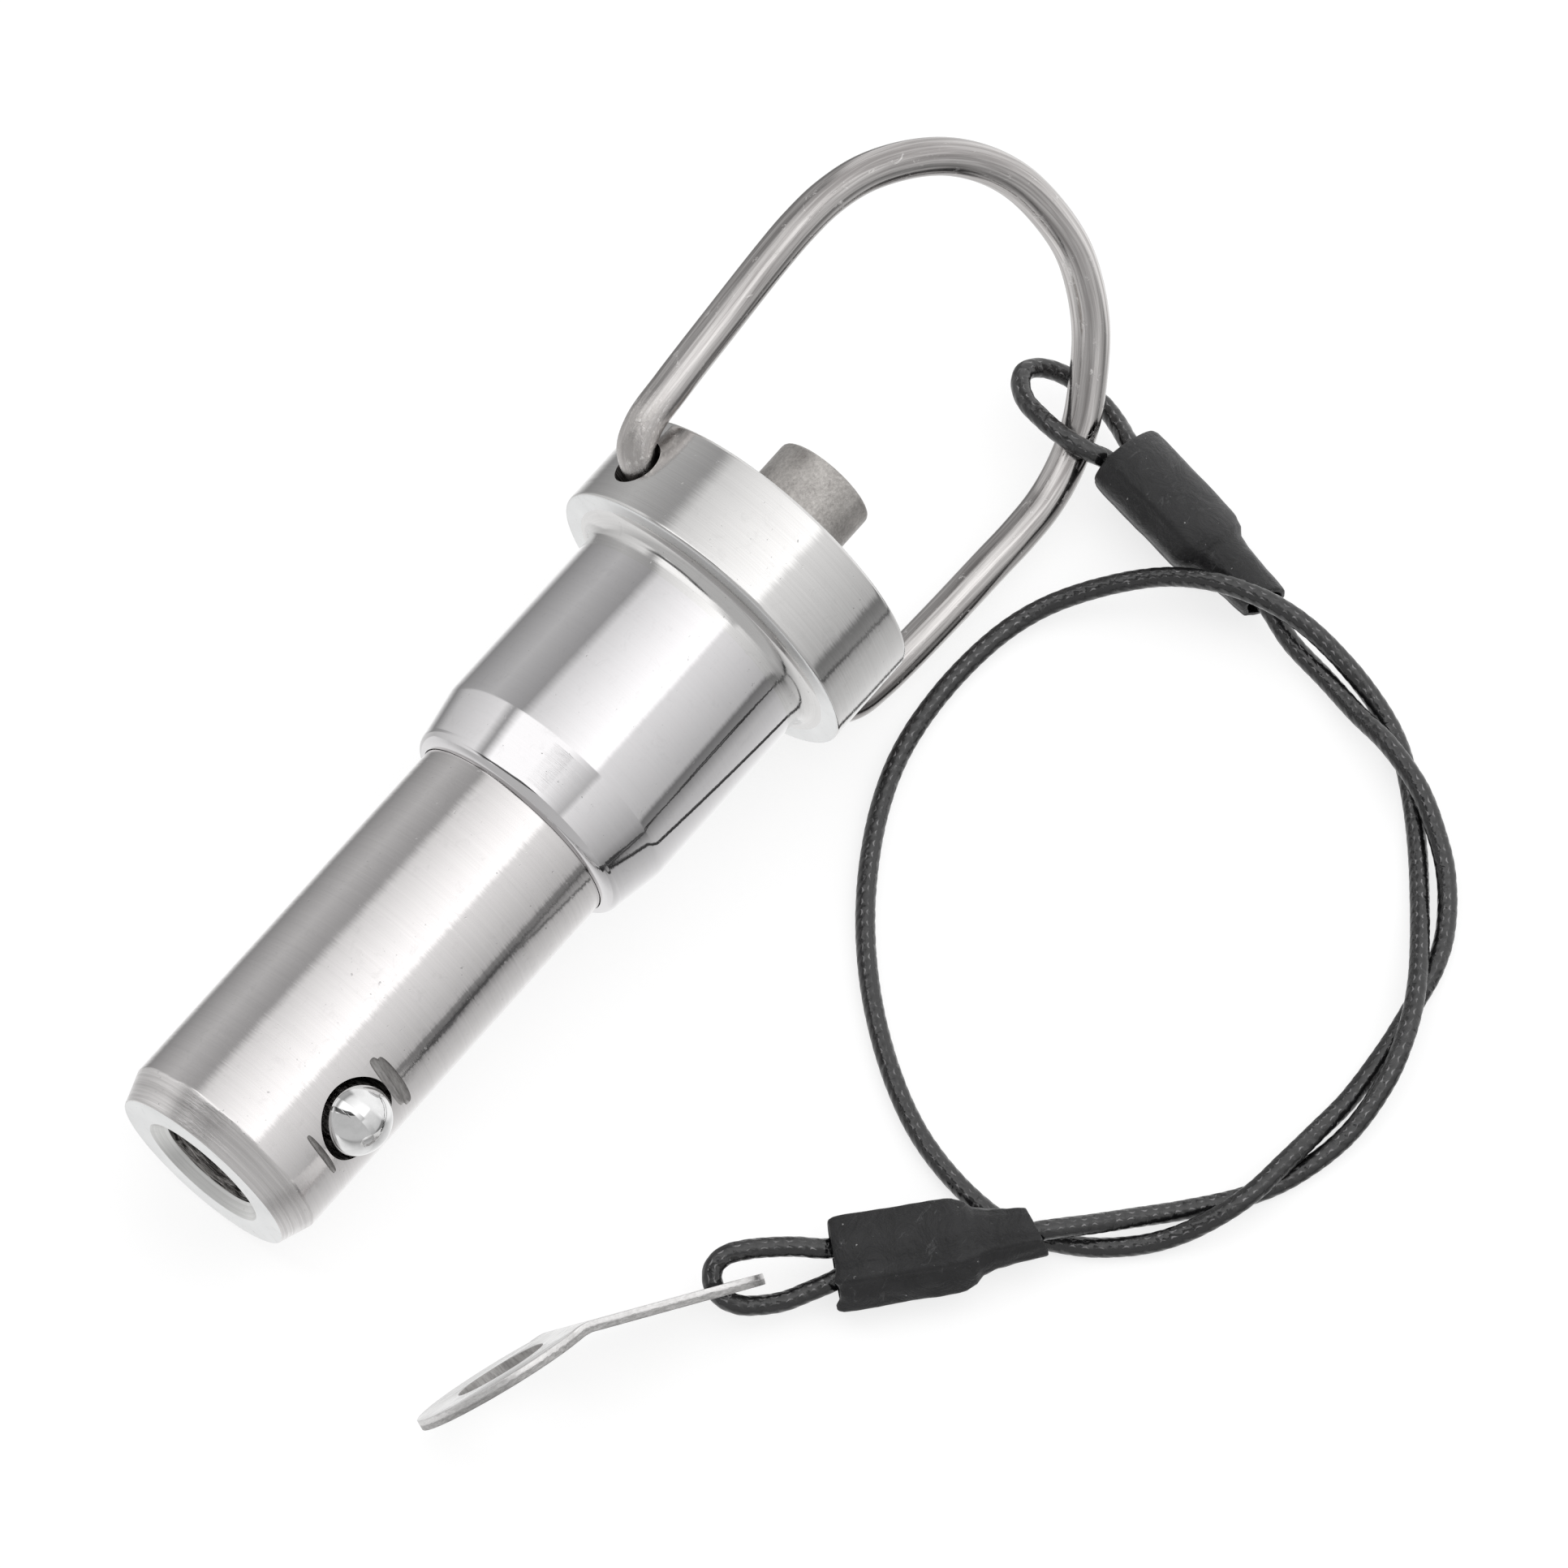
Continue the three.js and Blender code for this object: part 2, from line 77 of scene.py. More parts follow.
PIN_TILT = math.atan2(HEAD_R - SHANK_R, HEAD_X + 0.3 - TIP_CHAMFER_X)
PIN_HEIGHT = SHANK_R * math.cos(PIN_TILT) - TIP_CHAMFER_X * math.sin(PIN_TILT)
PIN_TIP_X = -46.64
PIN_AXIS = Vector((math.cos(PIN_TILT), 0, math.sin(PIN_TILT)))
PIN_UP = Vector((-math.sin(PIN_TILT), 0, math.cos(PIN_TILT)))
PIN = Matrix.Translation((PIN_TIP_X * MM, 0, PIN_HEIGHT * MM)) @ Matrix.Rotation(-PIN_TILT, 4, "Y")

BAIL_FRAME = (
    PIN @ Matrix.Translation((BAIL_X * MM, 0, 0)) @ Matrix.Rotation(BAIL_ROLL, 4, "X")
    @ Matrix.Rotation(BAIL_SWING, 4, "Y")
)

CABLE_R = 0.725
CABLE_SIDES = 36
OVERHEAD = Vector((-0.18, -0.05, 0.98))  # the cable's painted line of light is on this side
LAY_LENGTH = 5.6

# ---------------------------------------------------------------- routes, mm, as in the CAD source
BAIL_PATH = [
    (0, 8.8), (0, 10.4), (0, 11.9), (0.6, 13.3), (2.2, 14.1), (5.5, 14.45), (11.4, 14.85),
    (17.3, 15.2), (20.3, 15.25), (23.3, 15.0), (26.5, 14.1), (29.8, 12.2), (32.4, 9.9),
    (34.3, 7.2), (35.5, 4.3), (36.0, 1.2), (35.9, -2.6), (35.1, -5.3), (33.3, -8.5),
    (30.7, -11.2), (28.0, -13.3), (25.1, -14.6), (22.2, -15.25), (19.2, -15.35),
    (16.1, -15.2), (10.0, -14.9), (3.9, -14.4), (1.6, -13.9), (0.5, -13.1), (0, -11.9),
    (0, -10.4), (0, -8.8),
]
BAIL_END = {"mouth": (39.0, -11.6, 4.2), "tail": (37.1, -25.9, 2.5), "wide": (-0.85, 0, 0.5)}
TAB_END = {"mouth": (-22.1, -36.2, 2.6), "tail": (-11.2, -45.5, 3.2), "wide": (0.62, 0.73, 0.28)}
RUN_PATH = [
    (36.1, -29.5, 1.7), (35.6, -33.1, 1.3), (34.8, -36.5, 1.6), (34.0, -40.1, 2.3),
    (32.7, -43.9, 2.3), (31.2, -46.5, 1.9), (29.5, -48.8, 1.5), (27.6, -50.6, 1.1),
    (25.4, -52.1, 0.8), (23.0, -53.1, 0.76), (20.2, -53.7, 0.76), (16.4, -54.4, 0.76),
    (11.3, -54.9, 0.85), (7.8, -54.9, 1.4), (4.4, -54.9, 2.15), (1.0, -54.7, 2.35),
    (-1.7, -54.0, 2.1), (-4.5, -52.5, 1.2), (-6.9, -50.6, 0.78), (-9.6, -47.4, 0.76),
    (-11.4, -42.8, 0.76), (-10.3, -34.5, 0.76), (-5.3, -25.9, 0.76), (2.3, -18.6, 0.76),
    (11.2, -13.9, 0.76), (20.5, -12.8, 0.85), (27.0, -14.2, 1.4), (32.7, -18.9, 3.4),
    (34.9, -22.8, 4.7), (36.2, -26.6, 4.8), (36.9, -30.0, 3.9), (37.0, -34.0, 2.1),
    (36.3, -37.6, 0.9), (35.0, -40.3, 0.76), (32.4, -43.5, 0.76), (29.5, -46.4, 0.76),
    (26.5, -49.0, 0.95), (24.0, -51.0, 1.5), (21.4, -52.9, 2.1), (18.9, -54.4, 2.35),
    (16.4, -55.5, 2.3), (13.6, -56.3, 1.9), (9.0, -56.6, 1.1), (4.2, -55.6, 0.76),
    (1.0, -54.1, 0.76), (-2.6, -51.5, 0.8), (-5.5, -49.4, 1.4), (-8.0, -47.8, 2.3),
]
BAIL_EYE_PATH = [
    (37.6, -11.1, 4.9), (37.1, -10.3, 5.5), (36.7, -8.9, 5.9), (36.6, -7.3, 6.0),
    (36.8, -5.6, 5.9), (37.2, -4.1, 5.6), (38.1, -2.8, 5.2), (39.3, -2.1, 4.7), (40.3, -2.3, 4.2),
    (41.1, -3.0, 3.7), (41.7, -4.2, 3.2), (41.9, -5.9, 2.8), (41.7, -7.8, 2.7), (41.1, -9.5, 2.9),
    (40.3, -11.1, 3.4),
]
TAB_EYE_PATH = [
    (-21.8, -35.1, 3.3), (-23.05, -33.65, 3.65), (-24.35, -32.35, 3.9), (-25.7, -31.2, 4.1),
    (-26.9, -30.45, 4.15), (-27.95, -30.3, 3.9), (-28.75, -30.8, 3.5), (-29.05, -31.8, 2.9),
    (-28.55, -33.0, 2.3), (-27.6, -33.95, 1.95), (-26.2, -35.1, 1.9), (-24.55, -35.95, 1.95),
    (-23.1, -36.7, 2.1), (-22.3, -37.1, 2.3),
]
TAB_BEND_AT = (-38.84, -26.45, 5.79)
TAB_ALONG = Vector((0.865, -0.46, -0.199)).normalized()
TAB_UP = Vector((-0.031, -0.445, 0.895))
TAB_FACE = TAB_ALONG.cross(TAB_UP).normalized()
TAB_FRAME = Matrix.Translation(Vector(TAB_BEND_AT) * MM) @ Matrix(
    (TAB_ALONG, TAB_FACE.cross(TAB_ALONG), TAB_FACE)
).transposed().to_4x4()

# ---------------------------------------------------------------- camera
CAMERA_AT = (-0.28529, -0.25454, 0.76504)
CAMERA_RIGHT = Vector((0.64627, -0.76311, 0.0))
CAMERA_UP = Vector((0.68332, 0.57870, 0.44518))


def add_camera():
    data = bpy.data.cameras.new("camera")
    data.lens = 277.6
    data.sensor_width = 36.0
    data.clip_start = 0.05
    data.clip_end = 20.0
    camera = bpy.data.objects.new("camera", data)
    back = CAMERA_RIGHT.cross(CAMERA_UP).normalized()
    turn = Matrix((CAMERA_RIGHT.normalized(), CAMERA_UP.normalized(), back)).transposed()
    camera.matrix_world = Matrix.Translation(CAMERA_AT) @ turn.to_4x4()
    bpy.context.collection.objects.link(camera)
    bpy.context.scene.camera = camera


# ---------------------------------------------------------------- curves and meshes
def smooth_line(points, steps):
    """A centripetal Catmull-Rom line through points, with about that many equal steps."""
    points = [Vector(p) for p in points]
    ends = [2 * points[0] - points[1]] + points + [2 * points[-1] - points[-2]]
    fine = []
    for p0, p1, p2, p3 in zip(ends, ends[1:], ends[2:], ends[3:]):
        d0 = (p1 - p0).length ** 0.5
        d1 = (p2 - p1).length ** 0.5
        d2 = (p3 - p2).length ** 0.5
        t1 = ((p1 - p0) / d0 - (p2 - p0) / (d0 + d1) + (p2 - p1) / d1) * d1
        t2 = ((p2 - p1) / d1 - (p3 - p1) / (d1 + d2) + (p3 - p2) / d2) * d1
        for i in range(24):
            t = i / 24
            fine.append(
                p1 * (2 * t**3 - 3 * t**2 + 1) + t1 * (t**3 - 2 * t**2 + t)
                + p2 * (-2 * t**3 + 3 * t**2) + t2 * (t**3 - t**2)
            )
    fine.append(points[-1])
    run = [0.0]
    for a, b in zip(fine, fine[1:]):
        run.append(run[-1] + (b - a).length)
    even, k = [], 0
    for i in range(steps + 1):
        at = run[-1] * i / steps
        while k < len(run) - 2 and run[k + 1] < at:
            k += 1
        share = (at - run[k]) / max(run[k + 1] - run[k], 1e-9)
        even.append(fine[k].lerp(fine[k + 1], min(max(share, 0), 1)))
    return even


def carried_frames(line):
    """(tangent, side, up) at each point, carried along the line without twist."""
    tangents = []
    for i in range(len(line)):
        tangents.append((line[min(i + 1, len(line) - 1)] - line[max(i - 1, 0)]).normalized())
    side = tangents[0].orthogonal().normalized()
    frames = []
    for i, tangent in enumerate(tangents):
        if i:
            side = Quaternion(tangents[i - 1].rotation_difference(tangent)) @ side
        side = (side - tangent * side.dot(tangent)).normalized()
        frames.append((tangent, side, tangent.cross(side)))
    return frames


def new_piece(name, mesh, body, materials, matrix=None, sharp=math.radians(32)):
    """Shades a mesh, places it and lets it ride on its body."""
    for polygon in mesh.polygons:
        polygon.use_smooth = True
    mesh.set_sharp_from_angle(angle=sharp)
    for material in materials:
        mesh.materials.append(material)
    if matrix is not None:
        mesh.transform(matrix)
    piece = bpy.data.objects.new(name, mesh)
    bpy.context.collection.objects.link(piece)
    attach(piece, body)
    return piece


def ring_mesh(name, rings, closed=False, caps=True, material_of=None):
    """Joins rings of points into a surface. closed joins the last ring to the first."""
    bm = bmesh.new()
    made = [[bm.verts.new(p) for p in ring] for ring in rings]
    count = len(made[0])
    pairs = list(zip(made, made[1:])) + ([(made[-1], made[0])] if closed else [])
    for k, (one, two) in enumerate(pairs):
        for i in range(count):
            j = (i + 1) % count
            face = bm.faces.new((one[i], one[j], two[j], two[i]))
            if material_of:
                face.material_index = material_of[k]
    if caps and not closed:
        bm.faces.new(list(reversed(made[0])))
        bm.faces.new(made[-1])
    bmesh.ops.recalc_face_normals(bm, faces=bm.faces)
    mesh = bpy.data.meshes.new(name)
    bm.to_mesh(mesh)
    bm.free()
    return mesh


SUPPORT = 0.05


def softened(profile, steps=4):
    """Rounds the corners of a closed (x, r, rounding, material) profile, with support rings."""
    out, count = [], len(profile)
    for i, (x, r, radius, material) in enumerate(profile):
        here = Vector((x, r))
        before = Vector(profile[i - 1][:2])
        after = Vector(profile[(i + 1) % count][:2])
        came_with = profile[i - 1][3]
        if radius == 0:
            out.append((here, came_with))
            continue
        back = min(radius, (before - here).length * 0.45)
        ahead = min(radius, (after - here).length * 0.45)
        start = here + (before - here).normalized() * back
        end = here + (after - here).normalized() * ahead
        hold_back = min(SUPPORT, ((before - here).length - back) * 0.3)
        hold_ahead = min(SUPPORT, ((after - here).length - ahead) * 0.3)
        out.append((start + (before - here).normalized() * hold_back, came_with))
        for k in range(steps + 1):
            t = k / steps
            point = start * (1 - t) ** 2 + here * 2 * t * (1 - t) + end * t**2
            out.append((point, came_with if k <= steps // 2 else material))
        out.append((end + (after - here).normalized() * hold_ahead, material))
    return out


def turned(name, profile, segments=224, warp=None):
    """A closed profile of (x, r, rounding, material) in mm, turned round the pin's X axis.
    The material is that of the stretch which starts at the point. warp(x, r, angle) may move it."""
    points = softened(profile)
    rings = []
    for point, _ in points:
        ring = []
        for k in range(segments):
            angle = 2 * math.pi * k / segments
            x, r = warp(point.x, point.y, angle) if warp else point
            ring.append(Vector((x, r * math.cos(angle), r * math.sin(angle))) * MM)
        rings.append(ring)
    material_of = [points[(k + 1) % len(points)][1] for k in range(len(points))]
    return ring_mesh(name, rings, closed=True, material_of=material_of)


def swept(name, line, radius, sides, relief=None):
    """A tube along a line in mm. relief(i, angle) multiplies the radius. The attribute
    "straightened" holds where each point would lie, in metres, if the tube were straight."""
    rings, straightened = [], []
    run = 0.0
    for i, (point, (_, side, up)) in enumerate(zip(line, carried_frames(line))):
        run += (point - line[i - 1]).length if i else 0
        for k in range(sides):
            angle = 2 * math.pi * k / sides
            straightened += [run * MM, radius * MM * math.cos(angle), radius * MM * math.sin(angle)]
        ring = []
        for k in range(sides):
            angle = 2 * math.pi * k / sides
            r = radius * (relief(i, angle) if relief else 1)
            ring.append((point + side * (r * math.cos(angle)) + up * (r * math.sin(angle))) * MM)
        rings.append(ring)
    mesh = ring_mesh(name, rings)
    layer = mesh.attributes.new("straightened", "FLOAT_VECTOR", "POINT")
    layer.data.foreach_set("vector", straightened)
    return mesh


def cut(piece, *cutters):
    """Takes cutters away from piece for good. Their faces bring their own materials."""
    for cutter in cutters:
        modifier = piece.modifiers.new("cut", "BOOLEAN")
        modifier.operation = "DIFFERENCE"
        modifier.solver = "EXACT"
        modifier.material_mode = "TRANSFER"
        modifier.object = cutter
        with bpy.context.temp_override(object=piece, active_object=piece):
            bpy.ops.object.modifier_apply(modifier=modifier.name)
        bpy.data.objects.remove(cutter)


def cutter(mesh, material, matrix):
    mesh.materials.append(material)
    made = bpy.data.objects.new("cutter", mesh)
    made.matrix_world = matrix
    bpy.context.collection.objects.link(made)
    return made


def drill(radius, start, end, roll, x, material, flare=0.0, sides=96):
    """A round cutter across the pin at a station and roll, from one radius out to another."""
    steps = [(start, radius), (end - 1.2, radius), (end, radius + flare)]
    rings = [
        [
            Vector((r * math.cos(2 * math.pi * k / sides), out, r * math.sin(2 * math.pi * k / sides)))
            * MM
            for k in range(sides)
        ]
        for out, r in steps
    ]
    place = Matrix.Translation((x * MM, 0, 0)) @ Matrix.Rotation(roll, 4, "X")
    return cutter(ring_mesh("drill", rings), material, PIN @ place)


def punch(half_width, half_length, depth, roll, x, material):
    """A lens-shaped cutter on the shank's surface, long way round the shank."""
    rings = []
    for i in range(25):
        v = math.pi * (i + 0.5) / 25 - math.pi / 2
        turn = math.sin(v) * half_length / SHANK_R
        centre = SHANK_R + 0.12
        ring = []
        for k in range(24):
            u = 2 * math.pi * k / 24
            out = centre + math.sin(u) * (depth + 0.12) * math.cos(v) ** 0.5
            along = math.cos(u) * half_width * math.cos(v) ** 0.45
            angle = roll + turn
            ring.append(Vector((x + along, out * math.cos(angle), out * math.sin(angle))) * MM)
        rings.append(ring)
    return cutter(ring_mesh("punch", rings), material, PIN)


# ---------------------------------------------------------------- material building
class Shader:
    """A small helper round one material's node tree."""

    def __init__(self, name, own_frame=None):
        """own_frame, where given, is the frame that the patterns lie in, such as the pin's."""
        self.material = bpy.data.materials.new(name)
        self.material.use_nodes = True
        self.tree = self.material.node_tree
        self.bsdf = self.tree.nodes["Principled BSDF"]
        if own_frame == "straightened":
            node = self.add("ShaderNodeAttribute", attribute_name="straightened")
            self.place = node.outputs["Vector"]
            return
        self.place = self.add("ShaderNodeTexCoord").outputs["Object"]
        if own_frame is not None:
            node = self.add("ShaderNodeMapping", vector_type="TEXTURE")
            node.inputs["Location"].default_value = own_frame.to_translation()
            node.inputs["Rotation"].default_value = own_frame.to_euler()
            self.link(self.place, node.inputs["Vector"])
            self.place = node.outputs["Vector"]

    def add(self, kind, **settings):
        node = self.tree.nodes.new(kind)
        for key, value in settings.items():
            setattr(node, key, value)
        return node

    def link(self, source, target):
        self.tree.links.new(source, target)

    def stretched(self, scale, offset=(0, 0, 0)):
        node = self.add("ShaderNodeMapping")
        node.inputs["Scale"].default_value = scale
        node.inputs["Location"].default_value = offset
        self.link(self.place, node.inputs["Vector"])
        return node.outputs["Vector"]

    def noise(self, scale, detail=3.0, rough=0.55, offset=(0, 0, 0), distortion=0.0):
        node = self.add("ShaderNodeTexNoise")
        node.inputs["Scale"].default_value = 1.0
        node.inputs["Detail"].default_value = detail
        node.inputs["Roughness"].default_value = rough
        node.inputs["Distortion"].default_value = distortion
        self.link(self.stretched(scale, offset), node.inputs["Vector"])
        return node.outputs["Fac"]

    def ramp(self, value, low, high, from_low=0.0, from_high=1.0):
        node = self.add("ShaderNodeMapRange")
        node.inputs["From Min"].default_value = low
        node.inputs["From Max"].default_value = high
        node.inputs["To Min"].default_value = from_low
        node.inputs["To Max"].default_value = from_high
        self.link(value, node.inputs["Value"])
        return node.outputs["Result"]

    def math(self, operation, a, b):
        node = self.add("ShaderNodeMath", operation=operation)
        for socket, value in zip(node.inputs, (a, b)):
            if isinstance(value, (int, float)):
                socket.default_value = value
            else:
                self.link(value, socket)
        return node.outputs["Value"]

    def mix(self, share, one, two):
        node = self.add("ShaderNodeMix", data_type="RGBA")
        self.link(share, node.inputs["Factor"])
        for socket, value in ((node.inputs["A"], one), (node.inputs["B"], two)):
            if isinstance(value, tuple):
                socket.default_value = (*value, 1)
            else:
                self.link(value, socket)
        return node.outputs["Result"]

    def bump(self, height, distance, below=None):
        node = self.add("ShaderNodeBump")
        node.inputs["Strength"].default_value = 1.0
        node.inputs["Distance"].default_value = distance
        self.link(height, node.inputs["Height"])
        if below is not None:
            self.link(below, node.inputs["Normal"])
        return node.outputs["Normal"]

    def finish(self, color=None, rough=None, normal=None, metallic=1.0, **fixed):
        self.bsdf.inputs["Metallic"].default_value = metallic
        if color is not None:
            self.link(color, self.bsdf.inputs["Base Color"])
        if rough is not None:
            self.link(rough, self.bsdf.inputs["Roughness"])
        if normal is not None:
            self.link(normal, self.bsdf.inputs["Normal"])
        for key, value in fixed.items():
            self.bsdf.inputs[key.replace("_", " ")].default_value = value
        return self.material


def turned_steel(name, light, dark, rough, line_depth, lines=9000, fringe=0.0, film=0.35):
    """Turned steel: hairlines round the axis, clouds, a film with specks and a few small pits.
    fringe leans each hairline a little round the axis, which frays the edges of reflections."""
    s = Shader(name, PIN)
    hairlines = s.noise((lines, 70, 70), detail=5, rough=0.75)
    broad = s.noise((1500, 30, 30), detail=3, offset=(3, 1, 2))
    clouds = s.noise((160, 240, 240), detail=4, offset=(7, 5, 1))
    stains = s.noise((900, 900, 900), detail=6, rough=0.7, offset=(2, 6, 3), distortion=0.7)
    specks = s.noise((2600, 2600, 2600), detail=2, offset=(1, 9, 4))
    tone = s.math("ADD", s.math("MULTIPLY", hairlines, 0.75), s.math("MULTIPLY", broad, 0.25))
    color = s.mix(s.ramp(tone, 0.3, 0.7), dark, light)
    stained = s.math("MULTIPLY", s.ramp(stains, 0.56, 0.70), film)
    color = s.mix(stained, color, tuple(0.78 * c for c in light))
    pits = s.ramp(specks, 0.715, 0.78)
    color = s.mix(s.math("MULTIPLY", pits, 0.4), color, (0.25, 0.25, 0.25))
    uneven = s.math("ADD", s.ramp(clouds, 0.3, 0.75, rough * 0.8, rough * 1.3),
                    s.math("MULTIPLY", stained, 0.15))
    below = None
    if fringe:
        lean = s.math("MULTIPLY", s.math("SUBTRACT", s.noise((lines, 60, 60), offset=(4, 2, 2)), 0.5), fringe)
        normal = s.add("ShaderNodeNewGeometry").outputs["Normal"]
        round_pin = s.add("ShaderNodeVectorMath", operation="CROSS_PRODUCT")
        round_pin.inputs[0].default_value = PIN_AXIS
        s.link(normal, round_pin.inputs[1])
        leant = s.add("ShaderNodeVectorMath", operation="SCALE")
        s.link(round_pin.outputs["Vector"], leant.inputs[0])
        s.link(lean, leant.inputs["Scale"])
        total = s.add("ShaderNodeVectorMath", operation="ADD")
        s.link(leant.outputs["Vector"], total.inputs[0])
        s.link(normal, total.inputs[1])
        below = total.outputs["Vector"]
    normal = s.bump(hairlines, line_depth, below=below)
    normal = s.bump(pits, -line_depth * 3, below=normal)
    return s.finish(color, uneven, normal, Anisotropic=0.3)


def add_materials():
    made = {}
    made["shank"] = turned_steel(
        "satin_turned_steel", (0.735, 0.715, 0.712), (0.67, 0.652, 0.65), 0.12, 0.0000032, fringe=0.075)
    made["chamfer"] = turned_steel(
        "coarse_turned_steel", (0.86, 0.84, 0.835), (0.50, 0.485, 0.48), 0.20, 0.000018,
        lines=5200, fringe=0.10)
    made["sleeve"] = turned_steel(
        "polished_turned_steel", (0.72, 0.708, 0.716), (0.69, 0.678, 0.686), 0.045, 0.0000010,
        lines=6500, fringe=0.02, film=0.25)
    made["head"] = turned_steel(
        "brushed_head_steel", (0.72, 0.712, 0.705), (0.62, 0.612, 0.606), 0.11, 0.0000032,
        lines=11000, fringe=0.07)
    made["faced"] = turned_steel(
        "faced_steel", (0.86, 0.865, 0.865), (0.80, 0.805, 0.805), 0.42, 0.0000030, lines=300)
    made["sunk"] = turned_steel(
        "countersunk_steel", (0.80, 0.80, 0.79), (0.52, 0.52, 0.51), 0.34, 0.000012, lines=7000)
    made["button"] = blasted_steel()
    made["dark_bore"] = dark_bore()
    made["punched"] = punched_steel()
    made["ball"] = ball_steel()
    made["bail"] = bail_steel()
    made["spring"] = turned_steel("spring_wire_steel", (0.6, 0.6, 0.59), (0.45, 0.45, 0.44), 0.3, 0.000004)
    made["sheet"] = sheet_steel()
    made["sheared"] = sheared_steel()
    made["ferrule"] = turned_steel("pressed_aluminium", (0.82, 0.82, 0.83), (0.7, 0.7, 0.71), 0.3, 0.000006)
    made["cable"] = cable_coat()
    made["shrink"] = heat_shrink()
    return made


def blasted_steel():
    s = Shader("blasted_steel")
    grain = s.noise((4200, 4200, 4200), detail=5, rough=0.8)
    clouds = s.noise((420, 420, 420), detail=4, offset=(4, 4, 4))
    tone = s.math("ADD", s.math("MULTIPLY", grain, 0.6), s.math("MULTIPLY", clouds, 0.4))
    color = s.mix(s.ramp(tone, 0.35, 0.68), (0.26, 0.245, 0.235), (0.66, 0.635, 0.61))
    rough = s.ramp(clouds, 0.3, 0.7, 0.30, 0.42)
    return s.finish(color, rough, s.bump(grain, 0.00004))


def dark_bore():
    s = Shader("drilled_bore_steel", PIN)
    streaks = s.noise((2600, 330, 330), detail=4, rough=0.7, distortion=1.6)
    color = s.mix(s.ramp(streaks, 0.42, 0.66), (0.05, 0.047, 0.045), (0.85, 0.82, 0.80))
    rough = s.ramp(streaks, 0.3, 0.7, 0.35, 0.6)
    return s.finish(color, rough, s.bump(streaks, 0.00012))


def punched_steel():
    s = Shader("punched_steel")
    drag = s.noise((5200, 900, 900), detail=4, rough=0.7)
    color = s.mix(s.ramp(drag, 0.35, 0.7), (0.30, 0.29, 0.285), (0.55, 0.54, 0.53))
    rough = s.ramp(drag, 0.3, 0.7, 0.42, 0.6)
    return s.finish(color, rough, s.bump(drag, 0.00004))


def ball_steel():
    s = Shader("ball_steel")
    film = s.noise((900, 900, 900), detail=4)
    scratch = s.noise((5000, 400, 400), detail=2, offset=(2, 2, 8))
    color = s.mix(s.ramp(film, 0.4, 0.75), (0.80, 0.80, 0.80), (0.66, 0.66, 0.66))
    rough = s.ramp(film, 0.35, 0.8, 0.035, 0.09)
    return s.finish(color, rough, s.bump(s.ramp(scratch, 0.66, 0.72), -0.000002))


def bail_steel():
    """Drawn wire with lengthwise lines and scuffs, and dull mottled bends by the head."""
    s = Shader("bail_wire_steel", "straightened")
    split = s.add("ShaderNodeSeparateXYZ")
    s.link(s.place, split.inputs["Vector"])
    draw = s.noise((90, 3800, 3800), detail=5, rough=0.7)
    grooves = s.noise((45, 1500, 1500), detail=3, offset=(1, 3, 2))
    mottle = s.noise((2300, 2300, 2300), detail=5, rough=0.75, offset=(5, 5, 5))
    scuff = s.noise((600, 900, 900), detail=6, rough=0.75, offset=(9, 2, 4), distortion=0.8)
    near_end = s.math("MINIMUM", split.outputs["X"],
                      s.math("SUBTRACT", BAIL_WIRE_LENGTH * MM, split.outputs["X"]))
    bend = s.ramp(near_end, 0.0095, 0.0062)
    dull = s.math("MULTIPLY", bend, s.ramp(mottle, 0.38, 0.58, 0.25, 1.0))
    worn = s.ramp(scuff, 0.60, 0.68)
    lines = s.math("ADD", s.math("MULTIPLY", draw, 0.5), s.math("MULTIPLY", grooves, 0.5))
    base = s.mix(s.ramp(lines, 0.40, 0.60), (0.30, 0.285, 0.28), (0.66, 0.64, 0.63))
    base = s.mix(dull, base, (0.46, 0.44, 0.425))
    base = s.mix(s.math("MULTIPLY", s.math("MULTIPLY", bend, 0.6), s.ramp(mottle, 0.55, 0.66)), base,
                 (0.95, 0.93, 0.91))
    base = s.mix(s.math("MULTIPLY", worn, 0.6), base, (0.90, 0.88, 0.87))
    rough = s.math("ADD", s.ramp(draw, 0.3, 0.7, 0.09, 0.17), s.math("MULTIPLY", bend, 0.08))
    rough = s.math("ADD", rough, s.math("MULTIPLY", worn, 0.18))
    normal = s.bump(lines, 0.000014)
    normal = s.bump(s.math("MULTIPLY", bend, mottle), 0.00005, below=normal)
    normal = s.bump(worn, 0.00001, below=normal)
    return s.finish(base, rough, normal)


def sheet_steel():
    s = Shader("rolled_sheet_steel", TAB_FRAME)
    rolled = s.noise((120, 2600, 900), detail=4, rough=0.6)
    clouds = s.noise((300, 300, 300), detail=4, offset=(2, 7, 1))
    scuffs = s.noise((700, 2400, 900), detail=6, rough=0.75, offset=(5, 1, 2), distortion=1.0)
    worn = s.ramp(scuffs, 0.60, 0.70)
    color = s.mix(s.ramp(clouds, 0.3, 0.7), (0.72, 0.715, 0.71), (0.84, 0.835, 0.83))
    color = s.mix(s.math("MULTIPLY", worn, 0.35), color, (0.45, 0.445, 0.44))
    rough = s.math("ADD", s.ramp(rolled, 0.3, 0.7, 0.14, 0.24), s.math("MULTIPLY", worn, 0.12))
    return s.finish(color, rough, s.bump(worn, 0.000006, below=s.bump(rolled, 0.000004)))


